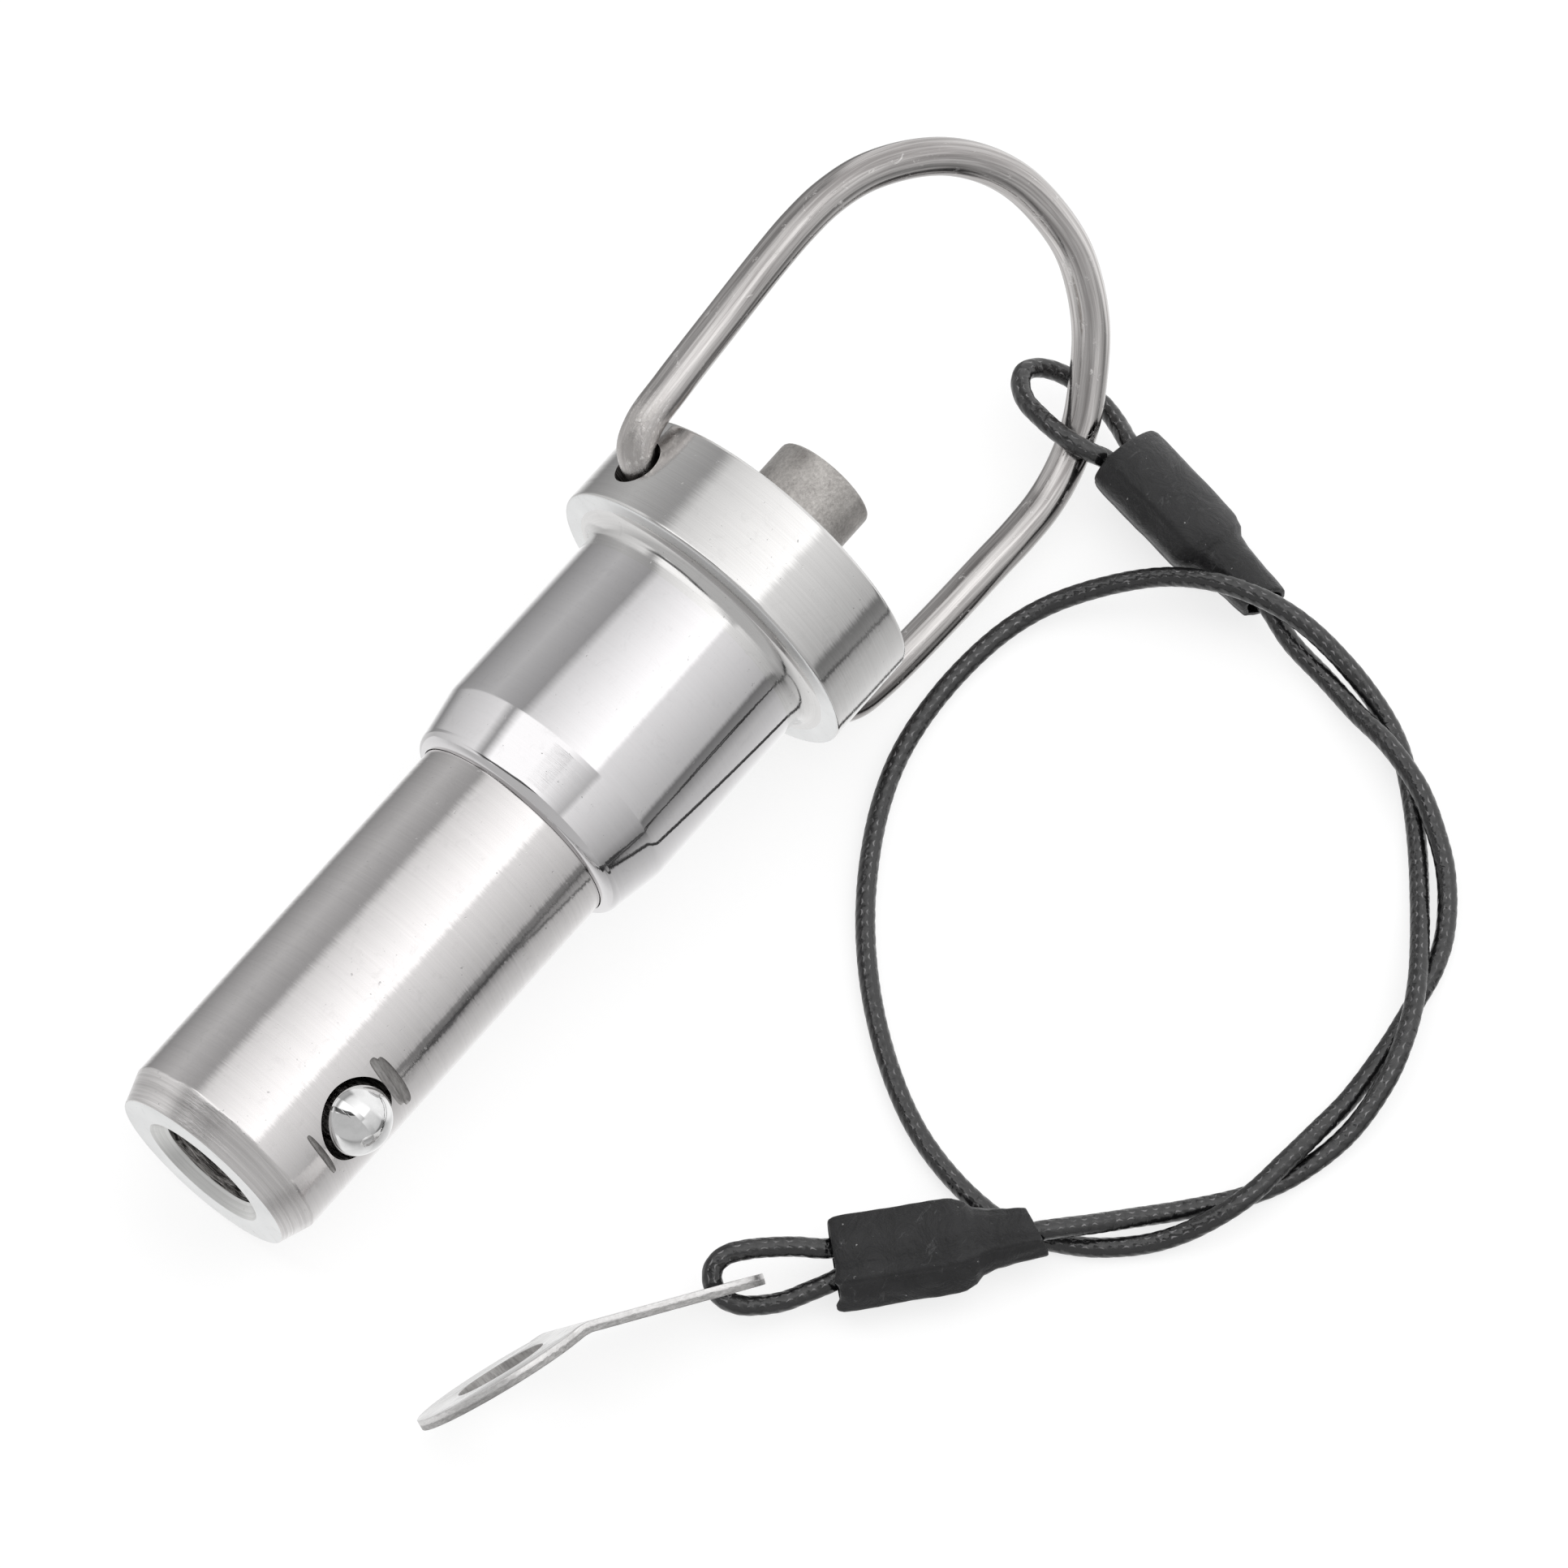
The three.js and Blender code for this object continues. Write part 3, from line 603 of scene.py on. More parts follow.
def sheared_steel():
    """A punched edge: bright where the punch went in, torn and grey below that."""
    s = Shader("sheared_edge_steel", "straightened")
    split = s.add("ShaderNodeSeparateXYZ")
    s.link(s.place, split.inputs["Vector"])
    torn = s.noise((1800, 1800, 5200), detail=5, rough=0.75)
    depth = s.math("ADD", split.outputs["Z"], s.math("MULTIPLY", torn, 0.0005))
    below = s.ramp(depth, 0.00020, 0.00030)
    color = s.mix(s.ramp(torn, 0.35, 0.7), (0.58, 0.57, 0.565), (0.86, 0.85, 0.845))
    color = s.mix(below, color, s.mix(s.ramp(torn, 0.35, 0.7), (0.30, 0.295, 0.29), (0.60, 0.59, 0.585)))
    rough = s.math("ADD", s.ramp(torn, 0.3, 0.7, 0.30, 0.42), s.math("MULTIPLY", below, 0.12))
    return s.finish(color, rough, s.bump(s.math("MULTIPLY", torn, below), 0.00006))


def cable_coat():
    """Black coated cable. The coat's wave over the strands is in the mesh; dust and a painted highlight are
    here.
    """
    s = Shader("black_cable_coat", "straightened")
    skin = s.noise((900, 2600, 2600), detail=4, rough=0.6)
    wave = s.noise((1300, 700, 700), detail=2, rough=0.4, offset=(2, 6, 6), distortion=0.6)
    rubbed = s.noise((260, 1700, 1700), detail=4, rough=0.6, offset=(3, 5, 1))
    dust = s.noise((3000, 4200, 4200), detail=3, rough=0.6, offset=(8, 1, 3))
    flecks = s.ramp(dust, 0.70, 0.76)
    color = s.mix(s.ramp(skin, 0.3, 0.75), (0.005, 0.005, 0.0055), (0.012, 0.0117, 0.0125))
    color = s.mix(s.math("MULTIPLY", s.ramp(rubbed, 0.58, 0.72), 0.3), color, (0.04, 0.039, 0.042))
    # A painted highlight on the cable's upper side: a broken wavy line of light where the strands below
    # the clear coat would catch it, with a fainter painted band of light above that line. It is painted from
    # upper_side, so it stays on that side of the cable in every pose.
    split = s.add("ShaderNodeSeparateXYZ")
    s.link(s.place, split.inputs["Vector"])
    upper = s.add("ShaderNodeAttribute", attribute_name="upper_side").outputs["Fac"]
    along = s.math("ADD", split.outputs["X"], s.math("MULTIPLY", rubbed, 0.0012))
    strand = s.math("SINE", s.math("MULTIPLY", along, 2 * math.pi / 0.0009), 0.0)
    edge = s.math("ADD", s.math("MULTIPLY", strand, 0.035), 0.93)
    past = s.math("SUBTRACT", upper, edge)
    painted_sheen = s.math("MULTIPLY", s.ramp(past, -0.02, 0.01), s.ramp(strand, -1.0, 0.6, 0.35, 1.0))
    line = s.math("MULTIPLY", s.ramp(s.math("ABSOLUTE", past, 0.0), 0.026, 0.008), s.ramp(strand, -0.4, 0.7))
    color = s.mix(s.math("MULTIPLY", painted_sheen, 0.10), color, (0.10, 0.098, 0.102))
    color = s.mix(s.math("MULTIPLY", line, s.ramp(skin, 0.42, 0.58, 0.1, 0.9)), color, (0.28, 0.275, 0.28))
    color = s.mix(s.math("MULTIPLY", flecks, 0.6), color, (0.4, 0.4, 0.4))
    rough = s.ramp(rubbed, 0.3, 0.7, 0.12, 0.24)
    normal = s.bump(wave, 0.00013)
    normal = s.bump(skin, 0.00002, below=normal)
    return s.finish(color, rough, normal, metallic=0.0, Specular_IOR_Level=0.8)


def heat_shrink():
    s = Shader("matt_heat_shrink")
    skin = s.noise((3600, 3600, 3600), detail=5, rough=0.7)
    smear = s.noise((420, 420, 420), detail=6, rough=0.7, offset=(3, 8, 2), distortion=0.9)
    streak = s.noise((700, 1600, 500), detail=5, rough=0.7, offset=(1, 4, 7), distortion=1.2)
    dust = s.noise((2300, 2300, 2300), detail=3, rough=0.5, offset=(6, 6, 1))
    color = s.mix(s.ramp(smear, 0.35, 0.75), (0.006, 0.006, 0.0068), (0.018, 0.0175, 0.019))
    color = s.mix(s.math("MULTIPLY", s.ramp(streak, 0.60, 0.72), 0.6), color, (0.11, 0.11, 0.113))
    grey = s.math("MULTIPLY", s.ramp(dust, 0.72, 0.765), 0.75)
    color = s.mix(grey, color, (0.5, 0.5, 0.5))
    rough = s.math("ADD", s.ramp(smear, 0.3, 0.7, 0.30, 0.46), s.math("MULTIPLY", grey, 0.2))
    normal = s.bump(skin, 0.00003)
    normal = s.bump(smear, 0.0003, below=normal)
    return s.finish(color, rough, normal, metallic=0.0, Specular_IOR_Level=0.45)


# ---------------------------------------------------------------- the lanyard
def crimp_axes(end):
    """Origin at the mouth, and the along, wide and thin directions of a crimped end."""
    mouth, tail = Vector(end["mouth"]), Vector(end["tail"])
    along = (tail - mouth).normalized()
    thin = along.cross(Vector(end["wide"])).normalized()
    return mouth, along, thin.cross(along), thin


def in_crimp(end, x, wide, thin=0.0):
    mouth, along, across, flat = crimp_axes(end)
    return mouth + along * x + across * wide + flat * thin


def cable_route():
    """The whole strand: out of one crimp, round the bail, back, along the run, and so on."""
    bail_stub = [in_crimp(BAIL_END, 7.0, 0.95), in_crimp(BAIL_END, 3.5, 1.0)]
    bail_through = [in_crimp(BAIL_END, 3.5, -1.0), in_crimp(BAIL_END, 7.0, -0.8), in_crimp(BAIL_END, 11.0, 0)]
    tab_through = [in_crimp(TAB_END, 11.0, 0), in_crimp(TAB_END, 7.0, 0.8), in_crimp(TAB_END, 3.5, 1.0)]
    tab_stub = [in_crimp(TAB_END, 3.5, -1.0), in_crimp(TAB_END, 7.0, -0.95)]
    eye = [Vector(p) for p in BAIL_EYE_PATH]
    if (eye[0] - bail_stub[-1]).length > (eye[0] - bail_through[0]).length:
        bail_stub, bail_through = mirrored(BAIL_END, bail_stub), mirrored(BAIL_END, bail_through)
    far_eye = [Vector(p) for p in TAB_EYE_PATH]
    if (far_eye[0] - tab_through[-1]).length > (far_eye[0] - tab_stub[0]).length:
        tab_through, tab_stub = mirrored(TAB_END, tab_through), mirrored(TAB_END, tab_stub)
    run = [in_crimp(BAIL_END, 14.8, 0)] + [Vector(p) for p in RUN_PATH] + [in_crimp(TAB_END, 14.8, 0)]
    return bail_stub + eye + bail_through + run + tab_through + far_eye + tab_stub


def mirrored(end, points):
    _, _, across, _ = crimp_axes(end)
    mouth = Vector(end["mouth"])
    return [p - across * (2 * (p - mouth).dot(across)) for p in points]


def add_cable(material):
    steps = 2400
    line = smooth_line(cable_route(), steps)
    length = sum((b - a).length for a, b in zip(line, line[1:]))

    def strands(i, angle):
        """The coat sinks between the cable's six strands, which wind round it."""
        turn = 2 * math.pi * (i * length / steps) / LAY_LENGTH
        wander = 0.5 * noise.noise(line[i] * 0.8)
        crown = math.cos(6 * (angle - turn) + wander)
        uneven = 0.012 * noise.noise(line[i] * 1.1 + Vector((3, 3, 3)))
        return 1 - 0.025 * max(0, -crown) ** 2 - 0.012 * (1 - crown) / 2 + uneven - 0.01

    mesh = swept("cable", line, CABLE_R, CABLE_SIDES, strands)
    upper = []
    for a, b in zip(line, line[1:] + [line[-1] * 2 - line[-2]]):
        way = (b - a).normalized()
        top = (OVERHEAD - way * OVERHEAD.dot(way)).normalized()
        upper.append((a, top))
    side = mesh.attributes.new("upper_side", "FLOAT", "POINT")
    values = []
    for i, vertex in enumerate(mesh.vertices):
        centre, top = upper[min(i // CABLE_SIDES, steps)]
        values.append((vertex.co / MM - centre).normalized().dot(top))
    side.data.foreach_set("value", values)
    piece = new_piece("cable", mesh, "lanyard", [material], sharp=math.radians(70))
    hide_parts("lanyard_cable", "bail_eye", "tab_eye")
    return piece, [p * MM for p in line], length * MM


BAIL_SHRINK_CREASES = [
    (1.0, 0.34, 0.12, 0.0), (2.2, 0.46, 0.12, 0.35), (3.3, 0.22, 0.18, 0.4), (-0.5, 0.22, 0.18, 0.0),
]
TAB_SHRINK_CREASES = [
    (0.5, 0.26, 0.15, 0.0), (2.0, 0.44, 0.12, 0.25), (2.9, 0.24, 0.18, 0.35), (4.4, 0.24, 0.2, 0.0),
]
SHRINK_END = 14.3


def shrink_width(x):
    """Half width of the heat-shrink sleeve at a distance from its mouth."""
    stations = [(0, 3.05), (0.5, 3.2), (1.5, 3.25), (8.6, 3.2), (9.3, 3.0), (10.2, 2.35), (11.2, 2.1),
                (13.0, 1.9), (SHRINK_END, 1.78)]
    for (x0, r0), (x1, r1) in zip(stations, stations[1:]):
        if x <= x1:
            t = (x - x0) / (x1 - x0)
            t = t * t * (3 - 2 * t)
            return r0 + (r1 - r0) * t
    return stations[-1][1]


def add_shrink(name, end, material, creases, slant, longer, seed):
    """A sleeve shrunk over the pressed crimp: its wall, creases, dents, lips and slanted end.
    creases are (angle, height, width, mouth shift): lengthwise folds of the sleeve."""
    mouth, along, across, thin = crimp_axes(end)
    wall = 0.4
    stations = [0, 0.05, 0.12, 0.25, 0.4] + [0.6 + 0.27 * i for i in range(49)] + [13.8, 13.95, 14.05, 14.1]
    sides = 120

    def ring(x, inset):
        points = []
        flat = 0.71 + 0.14 * max(0, min(1, (x - 9.0) / 3.0))
        on_crimp = max(0, min(1, (10.2 - x) / 2))
        for k in range(sides):
            angle = 2 * math.pi * k / sides
            c, s = math.cos(angle), math.sin(angle)
            r = shrink_width(x) - inset
            squareness = (abs(c) ** 3.4 + abs(s) ** 3.4) ** (-1 / 3.4)
            r *= 1 + (squareness - 1) * 0.4 * on_crimp
            shift = 0.0
            for at, height, width, lip in creases:
                away = (angle - at + math.pi) % (2 * math.pi) - math.pi
                bell = math.exp(-((away / width) ** 2))
                r += height * bell * (0.35 + 0.65 * on_crimp)
                shift += lip * bell
            place = Vector((x * 0.42 + seed, c * 1.6, s * 1.6))
            r += 0.07 * noise.noise(place) + 0.03 * noise.noise(place * 3.1)
            at = x + (slant * c + longer) * max(0, (x - 11.5) / (SHRINK_END - 11.5)) ** 1.5
            at -= shift * max(0, 1 - x / 2.5)
            points.append((mouth + along * at + across * (r * c) + thin * (r * s * flat)) * MM)
        return points

    outer = []
    for x in stations:
        mouth_lip = 0.14 * max(0, 1 - x / 0.12) ** 2
        tail_lip = 0.1 * max(0, (x - 14.0) / 0.1) ** 2
        outer.append(ring(x, mouth_lip + tail_lip))
    inner = [ring(x, wall) for x in reversed(stations)]
    mesh = ring_mesh(name, outer + inner, closed=True)
    piece = new_piece(name, mesh, "lanyard", [material], sharp=math.radians(60))
    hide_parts("heat_shrink_bail" if "bail" in name else "heat_shrink_tab")
    return piece


def add_ferrule(name, end, node, material):
    """The pressed metal sleeve inside the heat-shrink."""
    mouth, along, across, thin = crimp_axes(end)
    sides = 64
    rings = []
    for x, shrink in ((1.3, 0.45), (1.38, 0.2), (1.6, 0.05), (4.0, 0), (4.4, 0.06), (4.8, 0), (7.7, 0.05),
                      (7.95, 0.2), (8.05, 0.45)):
        ring = []
        for k in range(sides):
            angle = 2 * math.pi * k / sides
            r = 2.5 - shrink
            pinch = 1 - 0.12 * math.cos(2 * angle + math.pi) ** 2
            ring.append((mouth + along * x + across * (r * math.cos(angle))
                         + thin * (r * 0.7 * math.sin(angle) * pinch)) * MM)
        rings.append(ring)
    piece = new_piece(name, ring_mesh(name, rings), "lanyard", [material])
    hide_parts(node)
    return piece


# ---------------------------------------------------------------- the tab
TAB_THICKNESS = 0.8
TAB_BEND = math.radians(16.8)
TAB_STRAP = 11.04
TAB_STRAP_R = 3.5
TAB_SMALL_HOLE_R = 2.1
TAB_EYE = 5.54
TAB_EYE_R = 6.7
TAB_LARGE_HOLE_R = 3.36


def tab_outline():
    points = []
    for i in range(49):
        angle = -math.pi / 2 + math.pi * i / 48
        points.append((TAB_STRAP + TAB_STRAP_R * math.cos(angle), TAB_STRAP_R * math.sin(angle)))
    flare = math.pi - math.acos(TAB_STRAP_R / TAB_EYE_R) + 0.15
    for i in range(97):
        angle = math.pi - flare + 2 * flare * i / 96
        points.append((-TAB_EYE + TAB_EYE_R * math.cos(angle), TAB_EYE_R * math.sin(angle)))
    return points


def circle_points(x, radius, count):
    turn = 2 * math.pi / count
    return [(x + radius * math.cos(turn * i), radius * math.sin(turn * i)) for i in range(count)]


def closed_spline(curve, points):
    spline = curve.splines.new("POLY")
    spline.points.add(len(points) - 1)
    for target, (x, y) in zip(spline.points, points):
        target.co = (x * MM, y * MM, 0, 1)
    spline.use_cyclic_u = True


def add_tab(face_material, edge_material, hole_material):
    """A stamped sheet tab, its edges rounded over a little, bent between strap and eye."""
    curve = bpy.data.curves.new("tab_outline", "CURVE")
    curve.dimensions = "2D"
    curve.fill_mode = "BOTH"
    edge = 0.07
    curve.extrude = (TAB_THICKNESS / 2 - edge) * MM
    curve.bevel_depth = edge * MM
    curve.bevel_resolution = 2
    curve.offset = -edge * MM
    closed_spline(curve, tab_outline())
    closed_spline(curve, circle_points(TAB_STRAP, TAB_SMALL_HOLE_R, 64))
    closed_spline(curve, circle_points(-TAB_EYE, TAB_LARGE_HOLE_R, 96))
    flat = bpy.data.objects.new("tab_flat", curve)
    bpy.context.collection.objects.link(flat)
    bpy.context.view_layer.update()
    mesh = bpy.data.meshes.new_from_object(flat.evaluated_get(bpy.context.evaluated_depsgraph_get()))
    bpy.data.objects.remove(flat)
    mesh.materials.clear()
    bm = bmesh.new()
    bm.from_mesh(mesh)
    bmesh.ops.remove_doubles(bm, verts=bm.verts, dist=1e-7)
    for i in range(9):
        at = (-1.2 + 0.3 * i) * MM
        everything = bm.verts[:] + bm.edges[:] + bm.faces[:]
        bmesh.ops.bisect_plane(bm, geom=everything, plane_co=(at, 0, 0), plane_no=(1, 0, 0), dist=1e-8)
    bmesh.ops.recalc_face_normals(bm, faces=bm.faces)
    eye = Vector((-TAB_EYE * MM, 0))
    hole_edge = (TAB_LARGE_HOLE_R + 0.2) * MM
    for face in bm.faces:
        face.material_index = 0 if abs(face.normal.z) > 0.95 else 1
        if face.material_index and (face.calc_center_median().xy - eye).length < hole_edge:
            face.material_index = 2
    flat_place = bm.verts.layers.float_vector.new("straightened")
    for vert in bm.verts:
        vert[flat_place] = vert.co
    half = 1.2 * MM
    for vert in bm.verts:
        x, y, z = vert.co
        if x >= half:
            continue
        if x <= -half:
            turn = TAB_BEND
        else:
            turn = TAB_BEND * (half - x) / (2 * half)
        bent_x = x if x <= 0 else 0
        keep_x = 0 if x <= 0 else x
        vert.co = Vector((
            keep_x + bent_x * math.cos(turn) + z * math.sin(turn),
            y,
            z * math.cos(turn) - bent_x * math.sin(turn),
        ))
    bm.to_mesh(mesh)
    bm.free()
    materials = [face_material, edge_material, hole_material]
    piece = new_piece("tab", mesh, "tab", materials, TAB_FRAME, sharp=math.radians(40))
    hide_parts("mounting_tab")
    return piece


# ---------------------------------------------------------------- the pin
def chamfer_burr(x, r, angle):
    """The wavy line where the hand-fed chamfer meets the shank."""
    near = max(0, 1 - abs(x - TIP_CHAMFER_X) / 0.6)
    wave = noise.noise(Vector((3 * math.cos(angle), 3 * math.sin(angle), 5.1)))
    fine = noise.noise(Vector((11 * math.cos(angle), 11 * math.sin(angle), 1.7)))
    return x + near * (0.12 * wave + 0.06 * fine), r


def add_shank(m):
    profile = [
        (0, 7.15, 0.1, 4), (TIP_CHAMFER_X, SHANK_R, 0.12, 0), (SHANK_TOP_X, SHANK_R, 0.1, 0),
        (SHANK_TOP_X, 6.1, 0, 1), (38.0, 6.1, 0, 1), (38.0, BORE_R, 0, 1), (TIP_FLOOR_X, BORE_R, 0, 1),
        (TIP_FLOOR_X, TIP_HOLE_R, 0, 1), (0.88, TIP_HOLE_R, 0.05, 3), (0, 4.85, 0.06, 2),
    ]
    mesh = turned("shank_body", profile, warp=chamfer_burr)
    materials = [m["shank"], m["dark_bore"], m["faced"], m["sunk"], m["chamfer"]]
    piece = new_piece("shank_body", mesh, "pin_body", materials, PIN)
    for roll in (BALL_ROLL, BALL_ROLL + math.pi):
        cut(piece, drill(BALL_HOLE_R, 4.0, 9.0, roll, BALL_X, m["dark_bore"]))
        cut(piece, punch(0.27, 2.1, 0.3, roll - 0.02, BALL_X - 3.5, m["punched"]))
        cut(piece, punch(0.48, 2.6, 0.34, roll, BALL_X + 3.45, m["punched"]))
        cut(piece, punch(0.45, 2.7, 0.42, roll + 0.06, BALL_X + 3.85, m["punched"]))
    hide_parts("shank")


def quarter(x0, r0, x1, r1, bulge, steps=10, material=0):
    """Points of a quarter turn from one corner to another, on the side that bulge names."""
    points = []
    for i in range(steps + 1):
        a = i / steps * math.pi / 2
        if bulge == "out":
            points.append((x0 + (x1 - x0) * (1 - math.cos(a)), r0 + (r1 - r0) * math.sin(a), 0, material))
        else:
            points.append((x0 + (x1 - x0) * math.sin(a), r0 + (r1 - r0) * (1 - math.cos(a)), 0, material))
    return points


def add_sleeve(m):
    profile = [(SLEEVE_X, SLEEVE_BORE_R, 0, 0)]
    profile += quarter(SLEEVE_X, 8.2, SLEEVE_X + 1.0, 9.0, "out")
    profile += [(SLEEVE_X + 1.06, 9.01, 0, 0), (TAPER_END_X, 9.65, 0.3, 0)]
    profile += [(HEAD_X - 2.05, 9.65, 0, 0), (HEAD_X - 2.0, 9.64, 0, 1), (HEAD_X - 1.38, 9.64, 0, 1)]
    profile += quarter(HEAD_X - 1.3, 9.65, HEAD_X, 10.95, "in", material=1)
    profile += [(HEAD_X, 11.0, 0, 2), (HEAD_X, HEAD_R, 0.28, 1)]
    profile += [
        (HEAD_TOP_X, HEAD_R, 0.3, 2), (HEAD_TOP_X, BUTTON_HOLE_R, 0.12, 3),
        (SLEEVE_BORE_TOP_X, BUTTON_HOLE_R, 0, 3), (SLEEVE_BORE_TOP_X, SLEEVE_BORE_R, 0, 3),
    ]
    mesh = turned("sleeve_and_head", profile)
    materials = [m["sleeve"], m["head"], m["faced"], m["dark_bore"]]
    piece = new_piece("sleeve_and_head", mesh, "pin_body", materials, PIN)
    for roll in (BAIL_ROLL, BAIL_ROLL + math.pi):
        cut(piece, drill(BAIL_HOLE_R, BAIL_HOLE_DEPTH_R, HEAD_R + 1.2, roll, BAIL_X, m["dark_bore"]))
    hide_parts("shoulder_sleeve")


def add_button(m):
    profile = [
        (52.9, 3.1, 0, 0), (52.9, BUTTON_FLANGE_R, 0, 0),
        (SHANK_TOP_X, BUTTON_FLANGE_R, 0, 0), (SHANK_TOP_X, BUTTON_R, 0, 0),
        (BUTTON_TOP_X, BUTTON_R, 0.4, 0), (BUTTON_TOP_X, 0.01, 0, 0), (63.9, 0.01, 0, 0),
        (63.9, SPINDLE_HOLE_R, 0, 0), (53.05, SPINDLE_HOLE_R, 0, 0), (53.05, 3.1, 0, 0),
    ]
    mesh = turned("button", profile, 160)
    piece = new_piece("button", mesh, "plunger", [m["button"]], PIN)
    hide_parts("push_button")


def add_balls(m):
    for side in (0, 1):
        roll = BALL_ROLL + side * math.pi
        bm = bmesh.new()
        bmesh.ops.create_icosphere(bm, subdivisions=5, radius=BALL_R * MM)
        mesh = bpy.data.meshes.new("ball")
        bm.to_mesh(mesh)
        bm.free()
        centre = Vector((BALL_X, BALL_OUT * math.cos(roll), BALL_OUT * math.sin(roll))) * MM
        place = PIN @ Matrix.Translation(centre)
        piece = new_piece(f"ball_{side + 1}", mesh, f"ball_{side + 1}", [m["ball"]], place)
        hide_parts(f"locking_ball_{side + 1}")


def add_bail(m):
    line = smooth_line([(out, across, 0) for out, across in BAIL_PATH], 520)

    def hand_bent(i, angle):
        return 1 + 0.012 * noise.noise(line[i] * 0.16)

    mesh = swept("bail_wire", line, BAIL_WIRE_R * 0.99, 48, hand_bent)
    piece = new_piece("bail_wire", mesh, "bail", [m["bail"]], BAIL_FRAME)
    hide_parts("bail")


def dress_hidden_nodes(m):
    """The spindle and the spring stay as the CAD made them, with their own steel."""
    for node, material in (("spindle", m["shank"]), ("return_spring", m["spring"])):
        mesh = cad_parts[node].data
        mesh.materials.clear()
        mesh.materials.append(material)


# ---------------------------------------------------------------- studio
def add_floor():
    size, count = 3.0, 2
    bm = bmesh.new()
    bmesh.ops.create_grid(bm, x_segments=count, y_segments=count, size=size)
    mesh = bpy.data.meshes.new("floor")
    bm.to_mesh(mesh)
    bm.free()
    floor = bpy.data.objects.new("floor", mesh)
    bpy.context.collection.objects.link(floor)
    floor.visible_glossy = False
    s = Shader("pale_floor")
    s.bsdf.inputs["Base Color"].default_value = (0.38, 0.38, 0.38, 1)
    s.bsdf.inputs["Roughness"].default_value = 0.9
    s.bsdf.inputs["Specular IOR Level"].default_value = 0.0
    s.bsdf.inputs["Emission Color"].default_value = (1, 1, 1, 1)
    s.bsdf.inputs["Emission Strength"].default_value = 0.74
    mesh.materials.append(s.material)


# The studio round the pin: where each soft box and card begins and ends, in degrees from straight
# up towards -Y, and how bright it is there. All chosen in steps of 5 degrees and a tenth.
# The first set lies beyond the head, the second is square to the pin, the third beyond the tip.
BEHIND_BANDS = [
    (-180, 1.0), (-150, 1.0),                           # floor side
    (-130, 0.3), (-80, 0.6), (-45, 0.4),                # dark card, far side
    (-35, 0.9), (35, 1.6),                              # overhead soft box
    (40, 1.0), (95, 0.6),                               # near soft box
    (100, 0.2), (110, 0.3), (125, 0.6), (180, 1.0),     # gap at its foot, floor side
]
BESIDE_BANDS = [
    (-180, 1.0), (-120, 0.6), (-60, 1.0),
    (-50, 0.4), (-40, 1.4), (10, 1.4), (40, 0.6),       # gap, overhead soft box
    (45, 1.0), (95, 0.5), (110, 0.2), (120, 0.5), (180, 1.0),
]
FRONT_BANDS = [
    (-180, 1.0), (-120, 0.9), (-80, 0.6), (90, 0.6), (105, 0.4), (150, 0.9), (180, 1.0),
]
# Fixed directions of the studio, which are the camera's own axes at the photograph's view: the way
# over the pin to its far side, to the right along the table, and back towards the lens.
FAR_UP = CAMERA_UP
RIGHTWARD = CAMERA_RIGHT
NEARWARD = CAMERA_RIGHT.cross(CAMERA_UP)
PEAK = 2.0


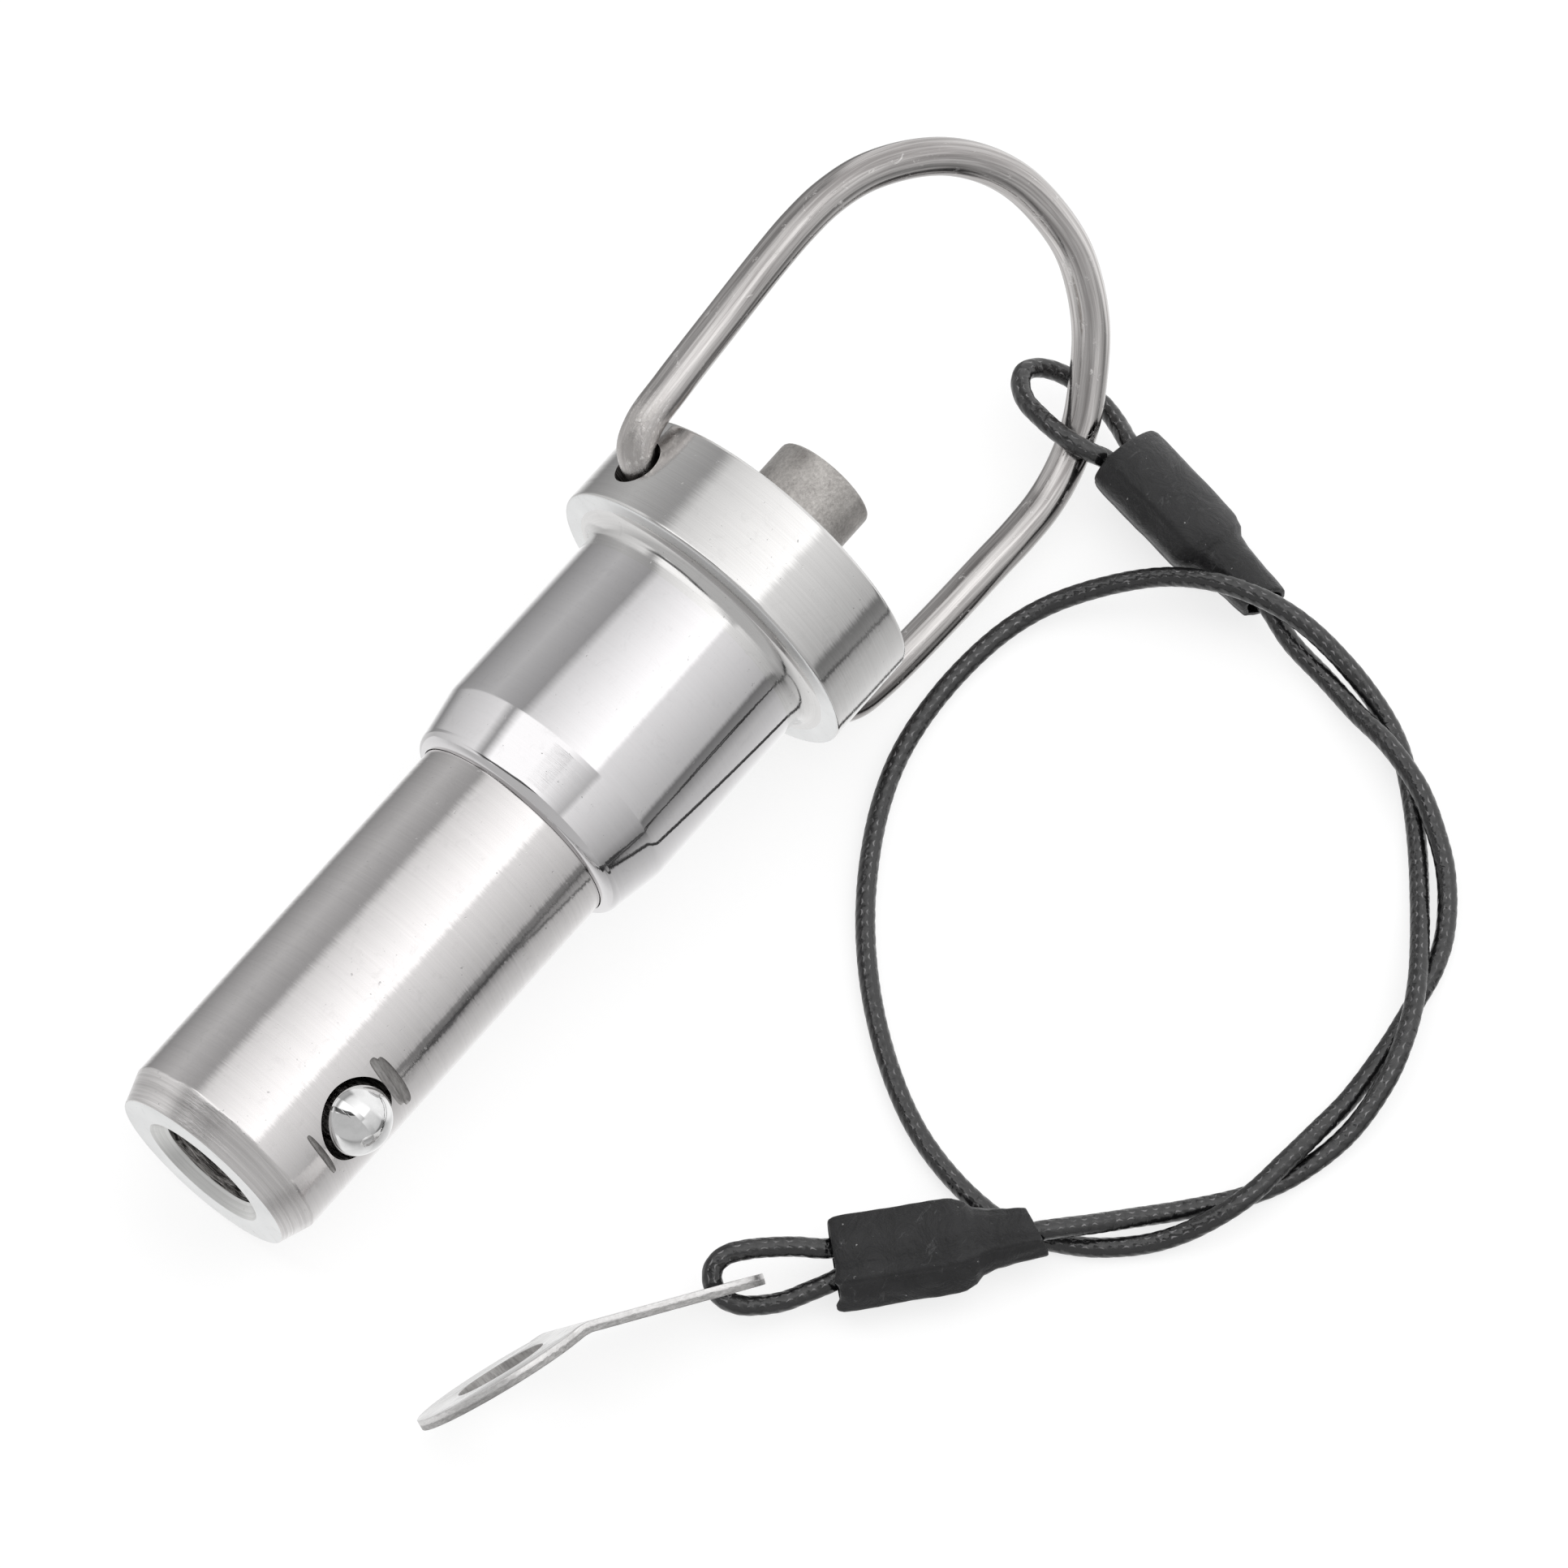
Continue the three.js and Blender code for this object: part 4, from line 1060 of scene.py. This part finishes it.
def add_world():
    """Soft boxes and cards all round, as bands along the pin's axis."""
    world = bpy.data.worlds.new("studio")
    bpy.context.scene.world = world
    world.use_nodes = True
    tree = world.node_tree
    background = tree.nodes["Background"]
    place = tree.nodes.new("ShaderNodeTexCoord").outputs["Generated"]

    def dot(direction):
        node = tree.nodes.new("ShaderNodeVectorMath")
        node.operation = "DOT_PRODUCT"
        tree.links.new(place, node.inputs[0])
        node.inputs[1].default_value = direction
        return node.outputs["Value"]

    def calc(operation, a, b=0.0, c=0.0):
        node = tree.nodes.new("ShaderNodeMath")
        node.operation = operation
        for socket, value in zip(node.inputs, (a, b, c)):
            if isinstance(value, (int, float)):
                socket.default_value = value
            else:
                tree.links.new(value, socket)
        return node.outputs["Value"]

    def rise(value, low, high):
        node = tree.nodes.new("ShaderNodeMapRange")
        node.interpolation_type = "SMOOTHSTEP"
        node.inputs["From Min"].default_value = low
        node.inputs["From Max"].default_value = high
        tree.links.new(value, node.inputs["Value"])
        return node.outputs["Result"]

    def bands(value, levels):
        node = tree.nodes.new("ShaderNodeFloatCurve")
        curve = node.mapping.curves[0]
        spots = [(degrees / 360 + 0.5, level / PEAK) for degrees, level in levels]
        for spot in spots[1:-1]:
            curve.points.new(*spot)
        for point, spot in zip(curve.points, spots):
            point.location = spot
            point.handle_type = "VECTOR"
        node.mapping.update()
        tree.links.new(value, node.inputs["Value"])
        return node.outputs["Value"]

    def blend(share, a, b):
        """a where share is 0, b where it is 1."""
        return calc("MULTIPLY_ADD", share, calc("SUBTRACT", b, a), a)

    share = calc("MULTIPLY_ADD", calc("ARCTAN2", dot((0, -1, 0)), dot(PIN_UP)), 1 / (2 * math.pi), 0.5)
    along = dot(PIN_AXIS)
    level = blend(rise(along, 0.09, 0.15), bands(share, BESIDE_BANDS), bands(share, BEHIND_BANDS))
    before_tip = calc("SUBTRACT", 1.0, rise(along, -0.15, -0.09))
    overhead = dot(FAR_UP)
    in_front = calc("MULTIPLY", before_tip, calc("SUBTRACT", 1.0, rise(overhead, 0.20, 0.26)))
    level = blend(in_front, level, bands(share, FRONT_BANDS))
    level = blend(rise(along, 0.55, 0.70), level, 0.55)
    # The dark bowed gap between the overhead soft box and what stands before the tip.
    sideways = dot(RIGHTWARD)
    bow = calc("MULTIPLY", calc("POWER", sideways, 2.0), 0.25)
    bowed = calc("SUBTRACT", calc("SUBTRACT", overhead, 0.22), bow)
    gap = calc("SUBTRACT", 1.0, rise(calc("ABSOLUTE", bowed), 0.085, 0.115))
    gap = calc("MULTIPLY", gap, calc("MULTIPLY", rise(sideways, -0.90, -0.78),
                                     calc("SUBTRACT", 1.0, rise(sideways, 0.25, 0.5))))
    gap = calc("MULTIPLY", gap, calc("MULTIPLY", before_tip, rise(dot(NEARWARD), -0.1, 0.1)))
    level = calc("MULTIPLY", level, calc("MULTIPLY_ADD", gap, -0.9, 1.0))
    tree.links.new(level, background.inputs["Color"])
    background.inputs["Strength"].default_value = PEAK


# ---------------------------------------------------------------- making it
add_camera()
materials = add_materials()
cable, cable_path, cable_length = add_cable(materials["cable"])
on_cable = [
    add_shrink("shrink_bail_end", BAIL_END, materials["shrink"], BAIL_SHRINK_CREASES, -0.5, 0.85, 3.0),
    add_shrink("shrink_tab_end", TAB_END, materials["shrink"], TAB_SHRINK_CREASES, -0.6, 0.1, 8.0),
    add_ferrule("crimp_bail_end", BAIL_END, "ferrule_bail", materials["ferrule"]),
    add_ferrule("crimp_tab_end", TAB_END, "ferrule_tab", materials["ferrule"]),
    add_tab(materials["sheet"], materials["sheared"], materials["punched"]),
]
add_shank(materials)
add_sleeve(materials)
add_button(materials)
add_balls(materials)
add_bail(materials)
dress_hidden_nodes(materials)
add_floor()
add_world()
bpy.context.scene.view_settings.view_transform = "Standard"
